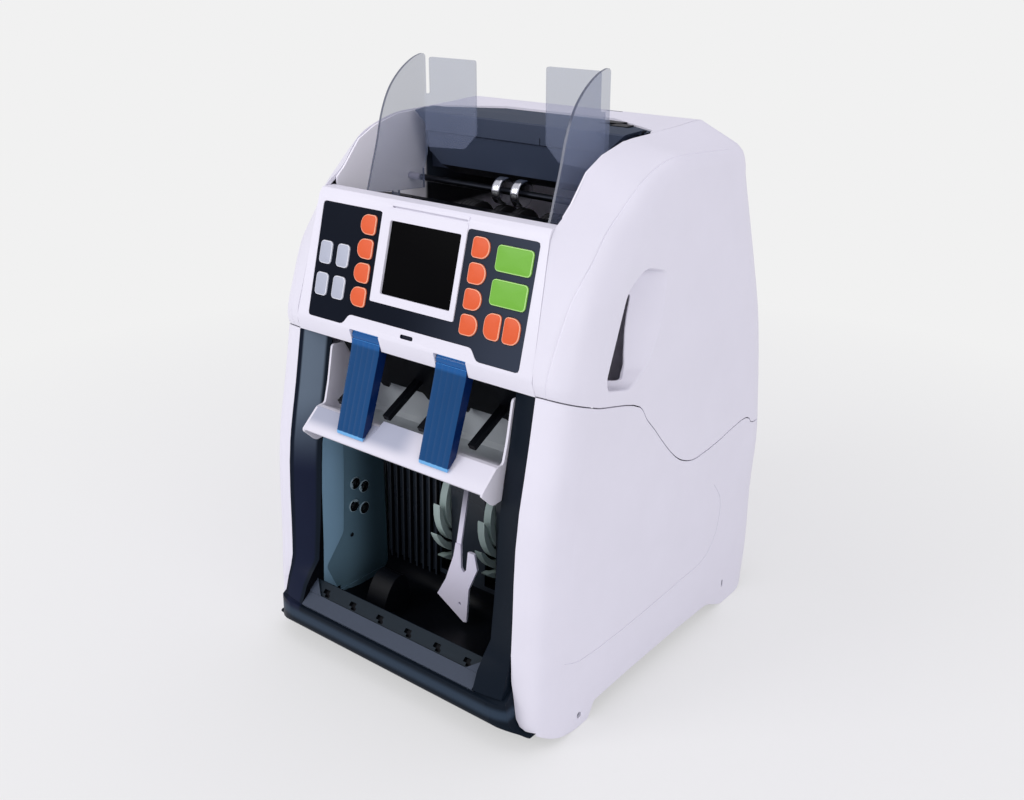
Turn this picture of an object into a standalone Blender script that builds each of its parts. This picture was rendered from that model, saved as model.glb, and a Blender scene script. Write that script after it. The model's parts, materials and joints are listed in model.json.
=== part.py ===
"""Desktop banknote sorter, built as its separate pieces.

Lengths are in metres. +X is the operator's right, -Y is the front and +Z is up.
The origin is on the floor, under the middle of the whole machine. Outlines of the body
are shares of its depth and height, and the bumper's nose stands out in front of it.
"""
import math

import bmesh
import bpy
from mathutils import Matrix, Vector

# Size of the body, without the lugs that it stands on and the clear guides above it
BODY_WIDTH = 0.328
BODY_DEPTH = 0.374
BODY_HEIGHT = 0.472
BODY_RAISE = 0.010
NOSE_SHARE = 0.0348      # reach of the bumper's nose in front of the body

# Walls and gaps that many pieces share
SHELL_WALL = 0.003
PLATE = 0.002
FIT = 0.0003
SEAM_GAP = 0.0008
OVERRUN = 0.02
SHELL_TRIM = 0.0006

# Half widths of the planes that the pieces share
HALF_WIDTH = BODY_WIDTH / 2
FRONT_HALF = 0.132
CHEEK_HALF = 0.124
POCKET_INSET = 0.020
POCKET_HALF = CHEEK_HALF - POCKET_INSET
LINER = 0.0025
CHASSIS_GAP = 0.0015
CHASSIS_IN = POCKET_HALF + LINER + CHASSIS_GAP
CHASSIS_OUT = CHASSIS_IN + PLATE
FRAME_OUT = CHEEK_HALF - FIT * 2
FRAME_IN = FRAME_OUT - PLATE

# Side view of the body: (depth share, height share)
FRONT_LINE_SHARES = [(-0.498, 0.008), (-0.497, 0.095), (-0.487, 0.196), (-0.480, 0.314),
                     (-0.469, 0.404), (-0.437, 0.518), (-0.410, 0.623)]
REAR_LINE_SHARES = [(0.471, 0.008), (0.480, 0.053), (0.484, 0.104), (0.483, 0.225),
                    (0.497, 0.325), (0.493, 0.377)]
SEAM_LINE_SHARES = [(-0.410, 0.623), (-0.329, 0.600), (-0.305, 0.593), (-0.147, 0.555),
                    (-0.115, 0.523), (-0.080, 0.494), (-0.037, 0.456), (0.003, 0.424),
                    (0.029, 0.407), (0.056, 0.394), (0.104, 0.381), (0.166, 0.381),
                    (0.235, 0.386), (0.299, 0.394), (0.366, 0.398), (0.388, 0.392),
                    (0.406, 0.379), (0.492, 0.375)]

# Round the edge of an upper side cover, from the front seam over the top to the rear seam:
# inner edge (y, z), outer corner (y, z), how much of the band is rounded, reach of the rounding
UPPER_EDGE_SHARES = [
    (-0.410, 0.623, -0.393, 0.610, 0.65, 0.171),
    (-0.418, 0.650, -0.398, 0.640, 0.65, 0.183),
    (-0.394, 0.720, -0.372, 0.708, 0.65, 0.195),
    (-0.369, 0.788, -0.332, 0.771, 0.55, 0.195),
    (-0.350, 0.841, -0.267, 0.818, 0.43, 0.171),
    (-0.328, 0.879, -0.219, 0.867, 0.35, 0.146),
    (-0.265, 0.913, -0.176, 0.900, 0.28, 0.122),
    (-0.214, 0.958, -0.126, 0.929, 0.22, 0.098),
    (-0.158, 0.979, -0.075, 0.949, 0.20, 0.085),
    (-0.080, 0.993, -0.021, 0.962, 0.17, 0.073),
    (0.000, 0.995, 0.032, 0.964, 0.16, 0.067),
    (0.120, 0.997, 0.120, 0.961, 0.16, 0.067),
    (0.214, 0.999, 0.209, 0.957, 0.18, 0.067),
    (0.241, 0.996, 0.257, 0.952, 0.25, 0.073),
    (0.265, 0.977, 0.286, 0.932, 0.40, 0.110),
    (0.299, 0.945, 0.305, 0.911, 0.60, 0.152),
    (0.348, 0.847, 0.348, 0.839, 0.75, 0.183),
    (0.396, 0.742, 0.394, 0.737, 0.75, 0.183),
    (0.439, 0.636, 0.438, 0.633, 0.75, 0.183),
    (0.464, 0.540, 0.464, 0.538, 0.75, 0.183),
    (0.480, 0.456, 0.480, 0.454, 0.75, 0.183),
    (0.493, 0.377, 0.493, 0.376, 0.75, 0.183),
]
PANEL_STATIONS = 6       # the first stations follow the side of the control panel
TOP_STATION = 10         # the top cover starts its profile at this station
SOFT_STEPS = 4

# The control panel leans back, and its own places are measured from the foot of the keypad
PANEL_LEAN = math.radians(15.8)
PANEL_FOOT_SHARES = (-0.416, 0.657)
PANEL_LOW_SHARE = 0.622
PANEL_HIGH_SHARE = 0.882


def body_y(share):
    return (share + NOSE_SHARE / 2) * BODY_DEPTH


def body_z(share):
    return BODY_RAISE + share * BODY_HEIGHT


def side_points(shares):
    return [(body_y(y), body_z(z)) for y, z in shares]


def point_of(shares):
    return body_y(shares[0]), body_z(shares[1])


def read_line(points, at):
    """Straight interpolation through (key, value) points in rising key."""
    if at <= points[0][0]:
        return points[0][1]
    for (low, first), (high, second) in zip(points, points[1:]):
        if at <= high:
            return first + (second - first) * (at - low) / (high - low)
    return points[-1][1]


def front_y(z):
    return read_line([(pz, py) for py, pz in side_points(FRONT_LINE_SHARES)], z)


def rear_y(z):
    return read_line([(pz, py) for py, pz in side_points(REAR_LINE_SHARES)], z)


def seam_z(y):
    return read_line(side_points(SEAM_LINE_SHARES), y)


def panel_half(z):
    """Half the panel's width, which narrows from its foot to its top."""
    low, high = body_z(PANEL_LOW_SHARE), body_z(PANEL_HIGH_SHARE)
    return FRONT_HALF + (CHEEK_HALF - FRONT_HALF) * (z - low) / (high - low)


# Ways to lay a flat outline (u, v) and its thickness w in space
def across_x(u, v, w):
    return Vector((w, u, v))


def across_y(u, v, w):
    return Vector((u, w, v))


def across_z(u, v, w):
    return Vector((u, v, w))


def on_panel(u, v, w):
    """u runs right along the panel, v up its face and w out of it."""
    foot = Vector((0, body_y(PANEL_FOOT_SHARES[0]), body_z(PANEL_FOOT_SHARES[1])))
    up = Vector((0, math.sin(PANEL_LEAN), math.cos(PANEL_LEAN)))
    out = Vector((0, -math.cos(PANEL_LEAN), math.sin(PANEL_LEAN)))
    return foot + Vector((u, 0, 0)) + up * v + out * w


# Outline tools
def turn(outline):
    """Outline in anticlockwise order."""
    area = sum(a[0] * b[1] - b[0] * a[1] for a, b in zip(outline, outline[1:] + outline[:1]))
    return list(outline) if area > 0 else list(reversed(outline))


def grow(outline, distance):
    """Outline moved outwards by a distance, with its corners kept."""
    points = [Vector(p) for p in turn(outline)]
    grown = []
    for index, here in enumerate(points):
        before = (here - points[index - 1]).normalized()
        after = (points[(index + 1) % len(points)] - here).normalized()
        out_before = Vector((before.y, -before.x))
        out_after = Vector((after.y, -after.x))
        middle = (out_before + out_after).normalized()
        grown.append(tuple(here + middle * (distance / max(middle.dot(out_after), 0.3))))
    return grown


def soften(outline, radius, steps=2):
    """Outline with each corner turned into an arc-like curve."""
    points = [Vector(p) for p in outline]
    soft = []
    for index, here in enumerate(points):
        before = points[index - 1] - here
        after = points[(index + 1) % len(points)] - here
        reach = min(radius, before.length * 0.45, after.length * 0.45)
        start = here + before.normalized() * reach
        end = here + after.normalized() * reach
        for step in range(steps + 1):
            t = step / steps
            soft.append(tuple(start * (1 - t) ** 2 + here * 2 * t * (1 - t) + end * t ** 2))
    return soft


def box_outline(low_u, low_v, high_u, high_v):
    return [(low_u, low_v), (high_u, low_v), (high_u, high_v), (low_u, high_v)]


def round_outline(centre_u, centre_v, radius, sides=20):
    angles = [2 * math.pi * k / sides for k in range(sides)]
    return [(centre_u + radius * math.cos(a), centre_v + radius * math.sin(a)) for a in angles]


def strip_outline(path, thickness):
    """A path turned into a thin closed outline on its right-hand side."""
    points = [Vector(p) for p in path]
    inner = []
    for index, here in enumerate(points):
        before = (here - points[max(index - 1, 0)]).normalized()
        after = (points[min(index + 1, len(points) - 1)] - here).normalized()
        before = before if before.length else after
        after = after if after.length else before
        right_before = Vector((before.y, -before.x))
        right_after = Vector((after.y, -after.x))
        middle = (right_before + right_after).normalized()
        inner.append(tuple(here + middle * (thickness / max(middle.dot(right_after), 0.3))))
    return list(path) + inner[::-1]


# Solid tools
def mesh_piece(name, points, faces):
    mesh = bpy.data.meshes.new(name)
    mesh.from_pydata([tuple(p) for p in points], [], faces)
    shape = bmesh.new()
    shape.from_mesh(mesh)
    bmesh.ops.recalc_face_normals(shape, faces=shape.faces)
    shape.to_mesh(mesh)
    shape.free()
    piece = bpy.data.objects.new(name, mesh)
    bpy.context.scene.collection.objects.link(piece)
    return piece


def loft(name, rings):
    """Closed solid through rings of equally many points."""
    count = len(rings[0])
    points = [p for ring in rings for p in ring]
    faces = [list(range(count)), list(range((len(rings) - 1) * count, len(rings) * count))]
    for row in range(len(rings) - 1):
        for k in range(count):
            after = (k + 1) % count
            faces.append([row * count + k, row * count + after,
                          (row + 1) * count + after, (row + 1) * count + k])
    return mesh_piece(name, points, faces)


def prism(name, outline, near, far, place):
    return loft(name, [[place(u, v, w) for u, v in outline] for w in (near, far)])


def block(name, low, high):
    return prism(name, box_outline(low[0], low[1], high[0], high[1]), low[2], high[2], across_z)


def turned(name, profile, centre_y, centre_z, sides=24):
    """Solid turned about an axis along X, through (x, radius) points."""
    rings = []
    for x, radius in profile:
        rings.append([across_x(u, v, x) for u, v in
                      round_outline(centre_y, centre_z, radius, sides)])
    return loft(name, rings)


def rod(name, centre_y, centre_z, radius, near, far, sides=16):
    return turned(name, [(near, radius), (far, radius)], centre_y, centre_z, sides)


def bake(piece):
    """Replace a piece's mesh by what its modifiers make of it."""
    graph = bpy.context.evaluated_depsgraph_get()
    made = bpy.data.meshes.new_from_object(piece.evaluated_get(graph))
    piece.modifiers.clear()
    piece.data = made


def change(piece, tools, operation):
    for tool in tools:
        step = piece.modifiers.new(operation.title(), "BOOLEAN")
        step.operation = operation
        step.solver = "EXACT"
        step.object = tool
    bpy.context.view_layer.update()
    bake(piece)
    for tool in tools:
        bpy.data.objects.remove(tool, do_unlink=True)
    return piece


def cut(piece, *tools):
    return change(piece, tools, "DIFFERENCE")


def join(piece, *tools):
    return change(piece, tools, "UNION")


def gather(name, pieces):
    """Several separate bodies kept as one object."""
    shape = bmesh.new()
    for piece in pieces:
        shape.from_mesh(piece.data)
        bpy.data.objects.remove(piece, do_unlink=True)
    mesh = bpy.data.meshes.new(name)
    shape.to_mesh(mesh)
    shape.free()
    group = bpy.data.objects.new(name, mesh)
    bpy.context.scene.collection.objects.link(group)
    return group


def facet(piece):
    """Split a piece's faces into triangles, because its twisted ones aren't flat."""
    shape = bmesh.new()
    shape.from_mesh(piece.data)
    bmesh.ops.triangulate(shape, faces=shape.faces)
    shape.to_mesh(piece.data)
    shape.free()
    return piece


def thicken(piece, thickness):
    """Give an open surface that faces outwards a wall on its inner side."""
    wall = piece.modifiers.new("Wall", "SOLIDIFY")
    wall.thickness = thickness
    wall.offset = -1
    wall.use_even_offset = True
    bpy.context.view_layer.update()
    bake(piece)
    return facet(piece)


def place_origin(piece, pivot):
    """Move a piece's origin to its joint without moving its surface."""
    piece.data.transform(Matrix.Translation(-Vector(pivot)))
    piece.location = pivot


# Colours and finishes: name: (sRGB hex, roughness, metallic)
FINISHES = {
    "white_plastic": ("E6E4EE", 0.45, 0.0),
    "pale_inner_plastic": ("D8D6E2", 0.5, 0.0),
    "navy_plastic": ("1E2433", 0.5, 0.0),
    "slate_plastic": ("4A5064", 0.5, 0.0),
    "black_plastic": ("101218", 0.55, 0.0),
    "stacker_plastic": ("4E6B7B", 0.5, 0.0),
    "keypad_film": ("202A3A", 0.4, 0.0),
    "orange_key": ("FF6E3C", 0.45, 0.0),
    "green_key": ("7CC832", 0.45, 0.0),
    "grey_key": ("C9CCD8", 0.45, 0.0),
    "blue_clear": ("1F4E8C", 0.2, 0.0),
    "clear_plastic": ("B8B4D0", 0.1, 0.0),
    "display_glass": ("08080A", 0.1, 0.0),
    "steel": ("A9ADB4", 0.35, 1.0),
    "painted_steel": ("D8D6E2", 0.5, 0.0),
    "bright_steel": ("D8DADF", 0.15, 1.0),
    "rubber": ("15161A", 0.85, 0.0),
    "blade_rubber": ("8FA8A8", 0.6, 0.0),
    "circuit_board": ("1F5A3A", 0.5, 0.0),
}


def linear(channel):
    value = int(channel, 16) / 255
    return value / 12.92 if value <= 0.04045 else ((value + 0.055) / 1.055) ** 2.4


def dress(piece, finish, smooth_angle=None):
    """Give a piece its own material, and smooth shading where it is round."""
    colour, roughness, metallic = FINISHES[finish]
    material = bpy.data.materials.new(piece.name + "_" + finish)
    material.use_nodes = True
    shader = material.node_tree.nodes["Principled BSDF"]
    rgb = [linear(colour[k:k + 2]) for k in (0, 2, 4)]
    shader.inputs["Base Color"].default_value = (*rgb, 1)
    shader.inputs["Roughness"].default_value = roughness
    shader.inputs["Metallic"].default_value = metallic
    piece.data.materials.clear()
    piece.data.materials.append(material)
    if smooth_angle is not None:
        piece.data.shade_smooth()
        piece.data.set_sharp_from_angle(angle=math.radians(smooth_angle))
    return piece


# Side covers
def soft_edge(edge, corner, softness, reach, inward):
    """Points from the inner edge over a flat band and round the corner to the flat side."""
    start = corner.lerp(edge, softness)
    end = corner + inward * reach
    points = [edge]
    for step in range(SOFT_STEPS + 1):
        t = step / SOFT_STEPS
        points.append(start * (1 - t) ** 2 + corner * 2 * t * (1 - t) + end * t ** 2)
    return points


def surface(name, rows, closing, side):
    """Open surface through rows of points, with an n-sided face that closes its side."""
    points = [p for row in rows for p in row] + closing
    width = len(rows[0])
    faces = []
    for r in range(len(rows) - 1):
        for k in range(width - 1):
            a = r * width + k
            faces.append([a, a + 1, a + width + 1, a + width])
    if closing:
        edge = [r * width + width - 1 for r in range(len(rows))]
        faces.append(edge + list(range(len(rows) * width, len(points))))
    mesh = bpy.data.meshes.new(name)
    mesh.from_pydata([(p.x * side, p.y, p.z) for p in points], [], faces)
    shape = bmesh.new()
    shape.from_mesh(mesh)
    bmesh.ops.recalc_face_normals(shape, faces=shape.faces)
    widest = max(shape.faces, key=lambda face: face.calc_area())
    if widest.normal.x * side < 0:
        bmesh.ops.reverse_faces(shape, faces=shape.faces)
    shape.to_mesh(mesh)
    shape.free()
    piece = bpy.data.objects.new(name, mesh)
    bpy.context.scene.collection.objects.link(piece)
    return piece


def upper_rows():
    """Rows of an upper side cover's outer surface, for the right-hand side."""
    rows = []
    corners = [Vector((HALF_WIDTH, body_y(s[2]), body_z(s[3]))) for s in UPPER_EDGE_SHARES]
    last = len(corners) - 1
    for index, (ey, ez, _, _, softness, reach) in enumerate(UPPER_EDGE_SHARES):
        z = body_z(ez)
        half = panel_half(z) if index < PANEL_STATIONS else CHEEK_HALF
        edge = Vector((half - SHELL_TRIM, body_y(ey), z))
        along = (corners[min(index + 1, last)] - corners[max(index - 1, 0)]).normalized()
        inward = Vector((0, along.z, -along.y))
        row = soft_edge(edge, corners[index], softness, reach * HALF_WIDTH, inward)
        if index in (0, last):
            for point in row:
                point.z = seam_z(point.y) + SEAM_GAP / 2
        rows.append(row)
    return rows


def front_trim(name, gap):
    """What an upper side cover leaves to the panel and to the hopper between the cheeks."""
    low, high = body_z(PANEL_LOW_SHARE), body_z(PANEL_HIGH_SHARE)
    top = BODY_HEIGHT + OVERRUN
    right = [(panel_half(low - OVERRUN) + gap, low - OVERRUN), (CHEEK_HALF + gap, high),
             (CHEEK_HALF + gap, top)]
    outline = right + [(-x, z) for x, z in reversed(right)]
    return prism(name, outline, -BODY_DEPTH, body_y(UPPER_EDGE_SHARES[PANEL_STATIONS][0]),
                 across_y)


def rear_trim(name):
    outline = box_outline(-CHEEK_HALF, -OVERRUN, CHEEK_HALF, BODY_HEIGHT + OVERRUN)
    return prism(name, outline, body_y(UPPER_EDGE_SHARES[PANEL_STATIONS][0]) - FIT,
                 BODY_DEPTH, across_y)


# Scooped grip in each upper side cover, with a slot for the fingers at its deep end
GRIP_SHARES = [(-0.146, 0.801), (-0.061, 0.782), (-0.064, 0.748), (-0.070, 0.697),
               (-0.115, 0.633), (-0.184, 0.597), (-0.273, 0.615), (-0.278, 0.636),
               (-0.210, 0.773)]
GRIP_FRONT_SHARES = [(0.597, -0.262), (0.615, -0.273), (0.636, -0.278), (0.773, -0.210),
                     (0.801, -0.146)]
GRIP_SLOT_SHARES = [(-0.131, 0.750), (-0.168, 0.629), (-0.187, 0.608), (-0.268, 0.613),
                    (-0.204, 0.746)]
GRIP_DEPTH = 0.022
GRIP_WALL = 0.0025
GRIP_CORNER = 0.008
GRIP_SLOPE_SHARE = 0.45


def grip_ring(outline, depth):
    """The grip's outline at a depth, drawn in towards its front edge."""
    front_line = [(body_z(z), body_y(y)) for z, y in GRIP_FRONT_SHARES]
    squeeze = 1 - (1 - GRIP_SLOPE_SHARE) * max(depth, 0) / GRIP_DEPTH
    ring = []
    for y, z in outline:
        front = min(read_line(front_line, z), y)
        ring.append((HALF_WIDTH - depth, front + (y - front) * squeeze, z))
    return ring


def grip_solid(name, outline, start, end, side):
    rings = [[(x * side, y, z) for x, y, z in grip_ring(outline, depth)]
             for depth in (start, end)]
    return facet(loft(name, rings))


def upper_cover(name, side):
    rows = upper_rows()
    first, last = rows[0][-1].y, rows[-1][-1].y
    seam = [Vector((HALF_WIDTH, y, z + SEAM_GAP / 2))
            for y, z in reversed(side_points(SEAM_LINE_SHARES)) if first < y < last]
    cover = thicken(surface(name, rows, seam, side), SHELL_WALL)
    outline = soften(side_points(GRIP_SHARES), GRIP_CORNER)
    pocket = grip_solid(name + "_pocket", grow(outline, GRIP_WALL), SHELL_WALL / 2,
                        GRIP_DEPTH + GRIP_WALL, side)
    hollow = grip_solid(name + "_hollow", outline, -GRIP_WALL, GRIP_DEPTH, side)
    slot = prism(name + "_slot", side_points(GRIP_SLOT_SHARES),
                 side * (HALF_WIDTH - SHELL_WALL * 2), side * (HALF_WIDTH - GRIP_DEPTH * 2),
                 across_x)
    join(cover, pocket)
    cut(cover, hollow, slot, front_trim(name + "_front_trim", 0), rear_trim(name + "_rear_trim"))
    return dress(cover, "white_plastic", 35)


LOWER_CORNER_SHARE = 0.0166
LOWER_SOFT_SHARES = (0.65, 0.171)
REAR_SOFT_SHARES = (0.75, 0.183)
COVER_FOOT = 0.0005
REAR_FOOT = 0.014
LEVEL_SHARES = [0, 0.14, 0.32, 0.5, 0.68, 0.84, 1]
# Lower edge of a side cover in the side view: it curls up at both ends, and two lugs stand
# below its long middle
UNDER_SHARES = [(-0.560, 0.060), (-0.520, 0.042), (-0.495, 0.021), (-0.470, 0.0085),
                (-0.440, -0.0035), (-0.409, -0.0125), (-0.378, -0.0180), (-0.350, -0.0202),
                (-0.318, -0.0202), (-0.304, -0.0085), (-0.290, 0.0080), (-0.282, 0.0097),
                (0.210, 0.0097), (0.240, 0.0050), (0.265, -0.0045), (0.292, -0.0140),
                (0.314, -0.0202), (0.385, -0.0202), (0.410, -0.0150), (0.434, -0.0020),
                (0.452, 0.0190), (0.463, 0.0400), (0.470, 0.0600), (0.600, 0.0600)]
SEAM_FIXED_SHARE = 0.370       # behind this depth the cover's columns lean with its rear corner


def lower_section(z):
    """Horizontal section of a lower side cover: front corner, rear corner."""
    front = front_y(z)
    corner = Vector((HALF_WIDTH, front + LOWER_CORNER_SHARE * BODY_DEPTH, z))
    softness, reach = LOWER_SOFT_SHARES
    ahead = soft_edge(Vector((FRONT_HALF - SHELL_TRIM, front, z)), corner, softness,
                      reach * HALF_WIDTH, Vector((0, 1, 0)))
    softness, reach = REAR_SOFT_SHARES
    behind = soft_edge(Vector((CHEEK_HALF - SHELL_TRIM, rear_y(z), z)),
                       Vector((HALF_WIDTH, rear_y(z), z)), softness,
                       reach * HALF_WIDTH, Vector((0, -1, 0)))
    return ahead, behind[::-1]


def lower_cover(name, side):
    top = body_z(SEAM_LINE_SHARES[0][1])
    ahead, behind = lower_section(top)
    middle = [y for y, z in side_points(SEAM_LINE_SHARES) if ahead[-1].y < y < behind[0].y]
    columns = len(ahead) + len(middle) + len(behind)
    fixed = body_y(SEAM_FIXED_SHARE)

    def column_point(index, z):
        ahead, behind = lower_section(z)
        if index < len(ahead):
            return ahead[index]
        if index < len(ahead) + len(middle):
            y = middle[index - len(ahead)]
            start = lower_section(body_z(SEAM_LINE_SHARES[-1][1]))[1][0].y
            if y > fixed:
                y = fixed + (y - fixed) * (behind[0].y - fixed) / (start - fixed)
            return Vector((HALF_WIDTH, y, z))
        return behind[index - len(ahead) - len(middle)]

    rows = []
    for index in range(columns):
        high = top if index < len(ahead) else body_z(SEAM_LINE_SHARES[-1][1])
        for _ in range(8):
            high = seam_z(column_point(index, high).y) - SEAM_GAP / 2
        rows.append([column_point(index, COVER_FOOT + (high - COVER_FOOT) * share)
                     for share in LEVEL_SHARES])
    cover = thicken(surface(name, rows, [], side), SHELL_WALL)
    trim = block(name + "_trim", (-FRONT_HALF, -BODY_DEPTH, -OVERRUN),
                 (FRONT_HALF, 0, BODY_HEIGHT))
    rear = block(name + "_rear", (-CHEEK_HALF, 0, -OVERRUN),
                 (CHEEK_HALF, BODY_DEPTH, BODY_HEIGHT))
    under = prism(name + "_under", side_points(UNDER_SHARES) + [(BODY_DEPTH, -OVERRUN),
                                                                (-BODY_DEPTH, -OVERRUN)],
                  -BODY_WIDTH, BODY_WIDTH, across_x)
    nose = prism(name + "_nose", grow(nose_front(-NOSE_SHARE), FIT * 2), -BODY_DEPTH,
                 body_y(BUMPER_BACK_SHARE) + FIT, across_y)
    cut(cover, trim, rear, under, nose)
    return dress(cover, "white_plastic", 35)


# Sill strip along the stacker pocket's front edge, with a row of small recesses
SILL_BACK_SHARES = (-0.4733, 0.1208)
SILL_FRONT_SHARES = (-0.5334, 0.0854)
SILL_STEP_SHARE = 0.65
SILL_HOLE_SHARE = 0.35
SILL_THICK = 0.004
SILL_RAISED = 0.001
SILL_HOLES = 6
SILL_PITCH = 0.0344
SILL_HOLE_LONG = 0.006
SILL_HOLE_WIDE = 0.0035
SILL_HOLE_DEEP = 0.002


def sill_slope():
    """Back and front edge of the sill's surface in the side view, and its outward direction."""
    top, low = Vector(point_of(SILL_BACK_SHARES)), Vector(point_of(SILL_FRONT_SHARES))
    down = (low - top).normalized()
    return top, low, Vector((down.y, -down.x))


# Dark front frame: two leaning columns that sweep forward into the bumper's nose
BUMPER_BACK_SHARE = -0.401
BUMPER_FLOOR_SHARE = 0.0763
BUMPER_SHARES = [(-0.5330, 0.0760), (-0.5348, 0.0742), (-0.5348, 0.0370), (-0.5318, 0.0307), (-0.4973, 0.0148), (-0.4900, 0.0127),
                 (-0.4010, 0.0127), (-0.4010, 0.0670), (-0.4607, 0.0763), (-0.4607, 0.1132)]
NOSE_END_SHARES = [(0.933, 0.0125), (0.939, 0.0165), (0.896, 0.0186), (0.863, 0.0254),
                   (0.8415, 0.0403), (0.835, 0.0593), (0.826, 0.0847), (0.811, 0.1165),
                   (0.8025, 0.1600)]
NOSE_PLAN_SHARES = [(0.700, -0.5348), (0.790, -0.5290), (0.845, -0.5190), (0.885, -0.5060),
                    (0.939, -0.4915), (0.950, -0.4000)]
COLUMN_STEP = 0.009       # the columns' inner edge lies this far behind the outer edge
COLUMN_DEEP = 0.014
COLUMN_WALL = 0.005
COLUMN_SHARES = [0.196, 0.314, 0.404, 0.518, 0.6205]
# Where a column sweeps forward: height share, depth shares of its inner and outer edge
BOOT_SHARES = [(0.0720, -0.5240, -0.5147), (0.0850, -0.5240, -0.5147),
               (0.0855, -0.5334, -0.5227), (0.1186, -0.5152, -0.5094),
               (0.1398, -0.4947, -0.4987), (0.1631, -0.4680, -0.4904)]


def mirrored(right):
    """Outline through points on the right and their mirror images."""
    return right + [(-u, v) for u, v in reversed(right)]


def nose_front(low_share):
    """Front view of the bumper, down to a height share."""
    right = [(x * HALF_WIDTH, body_z(z)) for x, z in NOSE_END_SHARES]
    right[0] = (right[0][0], body_z(low_share))
    if low_share < NOSE_END_SHARES[0][1]:
        right[0] = (right[1][0], right[0][1])
    return mirrored(right)


def column(name, side):
    outer, inner = FRONT_HALF - FIT, POCKET_HALF
    rows = [(body_z(z), body_y(near), body_y(far)) for z, near, far in BOOT_SHARES]
    rows += [(body_z(s), front_y(body_z(s)) + COLUMN_STEP, front_y(body_z(s)))
             for s in COLUMN_SHARES]
    rings = []
    for z, near, far in rows:
        back = front_y(z) + COLUMN_DEEP
        section = [(outer, far), (inner, near), (inner, back), (inner + COLUMN_WALL, back),
                   (outer, front_y(z) + COLUMN_WALL)]
        rings.append([(x * side, y, z) for x, y in section])
    return loft(name, rings)


def front_frame():
    top, low, out = sill_slope()
    ledge = [tuple(point - out * (SILL_THICK + FIT)) for point in (top, low)]
    frame = prism("front_frame", ledge + side_points(BUMPER_SHARES), -HALF_WIDTH, HALF_WIDTH,
                  across_x)
    ends = prism("nose_ends", nose_front(NOSE_END_SHARES[0][1]), -BODY_DEPTH, 0, across_y)
    plan = prism("nose_plan", mirrored([(x * HALF_WIDTH, body_y(y))
                                        for x, y in NOSE_PLAN_SHARES]),
                 -OVERRUN, BODY_HEIGHT, across_z)
    change(frame, [ends], "INTERSECT")
    change(frame, [plan], "INTERSECT")
    join(frame, column("column_left", -1), column("column_right", 1))
    return dress(frame, "navy_plastic", 30)


def sill_strip():
    top, low, out = sill_slope()
    down = (low - top).normalized()
    step = top.lerp(low, SILL_STEP_SHARE)
    outline = [top, step, step + out * SILL_RAISED, low + out * SILL_RAISED,
               low - out * SILL_THICK, top - out * SILL_THICK]
    half = POCKET_HALF - FIT
    strip = prism("sill_strip", [tuple(p) for p in outline], -half, half, across_x)
    middle = top.lerp(low, SILL_HOLE_SHARE)

    def on_slope(u, v, w):
        place = middle + down * v + out * w
        return Vector((u, place.x, place.y))

    holes = []
    for k in range(SILL_HOLES):
        x = (k - (SILL_HOLES - 1) / 2) * SILL_PITCH
        outline = soften(box_outline(x - SILL_HOLE_LONG / 2, -SILL_HOLE_WIDE / 2,
                                     x + SILL_HOLE_LONG / 2, SILL_HOLE_WIDE / 2),
                         SILL_HOLE_WIDE / 2)
        holes.append(prism("sill_hole", outline, -SILL_HOLE_DEEP, SILL_HOLE_DEEP, on_slope))
    cut(strip, gather("sill_holes", holes))
    return dress(strip, "slate_plastic")


# Base tray, feet and chassis plates
TRAY_BOTTOM = BODY_RAISE + 0.006
TRAY_RIM = 0.012
TRAY_CORNER = 0.030
FOOT_RADIUS = 0.011
FOOT_SHARES = [(0.89, -0.342), (0.89, 0.342)]
FOOT_CROWN = 0.001


def base_tray():
    half = HALF_WIDTH - SHELL_WALL - FIT
    back = rear_y(TRAY_BOTTOM) - SHELL_WALL - FIT
    front = body_y(BUMPER_BACK_SHARE) + FIT
    outline = [(-half, front), (half, front), (half, back - TRAY_CORNER)]
    for k in range(7):
        angle = math.pi / 2 * k / 6
        outline.append((half - TRAY_CORNER * (1 - math.cos(angle)),
                        back - TRAY_CORNER * (1 - math.sin(angle))))
    outline += [(-x, y) for x, y in reversed(outline[3:])] + [(-half, back - TRAY_CORNER)]
    seen = []
    for point in outline:
        if not seen or (Vector(point) - Vector(seen[-1])).length > FIT:
            seen.append(point)
    top = TRAY_BOTTOM + TRAY_RIM
    tray = prism("base_tray", seen, TRAY_BOTTOM, top, across_z)
    inside = prism("tray_inside", grow(seen, -PLATE), TRAY_BOTTOM + SHELL_WALL, top + OVERRUN,
                   across_z)
    cut(tray, inside)
    return dress(tray, "black_plastic")


def feet():
    for end, (x_share, y_share) in zip(("front", "rear"), FOOT_SHARES):
        for word, side in (("left", -1), ("right", 1)):
            x, y = side * x_share * HALF_WIDTH, body_y(y_share)
            rings = []
            for z, radius in ((0, FOOT_RADIUS - FOOT_CROWN), (FOOT_CROWN, FOOT_RADIUS),
                              (TRAY_BOTTOM - FIT, FOOT_RADIUS)):
                rings.append([(u, v, z) for u, v in round_outline(x, y, radius, 16)])
            dress(loft("foot_%s_%s" % (end, word), rings), "rubber", 30)


# Hinge at the rear edge, where the upper half opens
HINGE_SHARES = (0.488, 0.3634)
EAR_RADIUS = 0.0045
HINGE_PIN_RADIUS = 0.0022
HINGE_HEAD = 0.0012
HINGE_HEAD_RADIUS = 0.0036
EAR_NECK = 0.004

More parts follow.
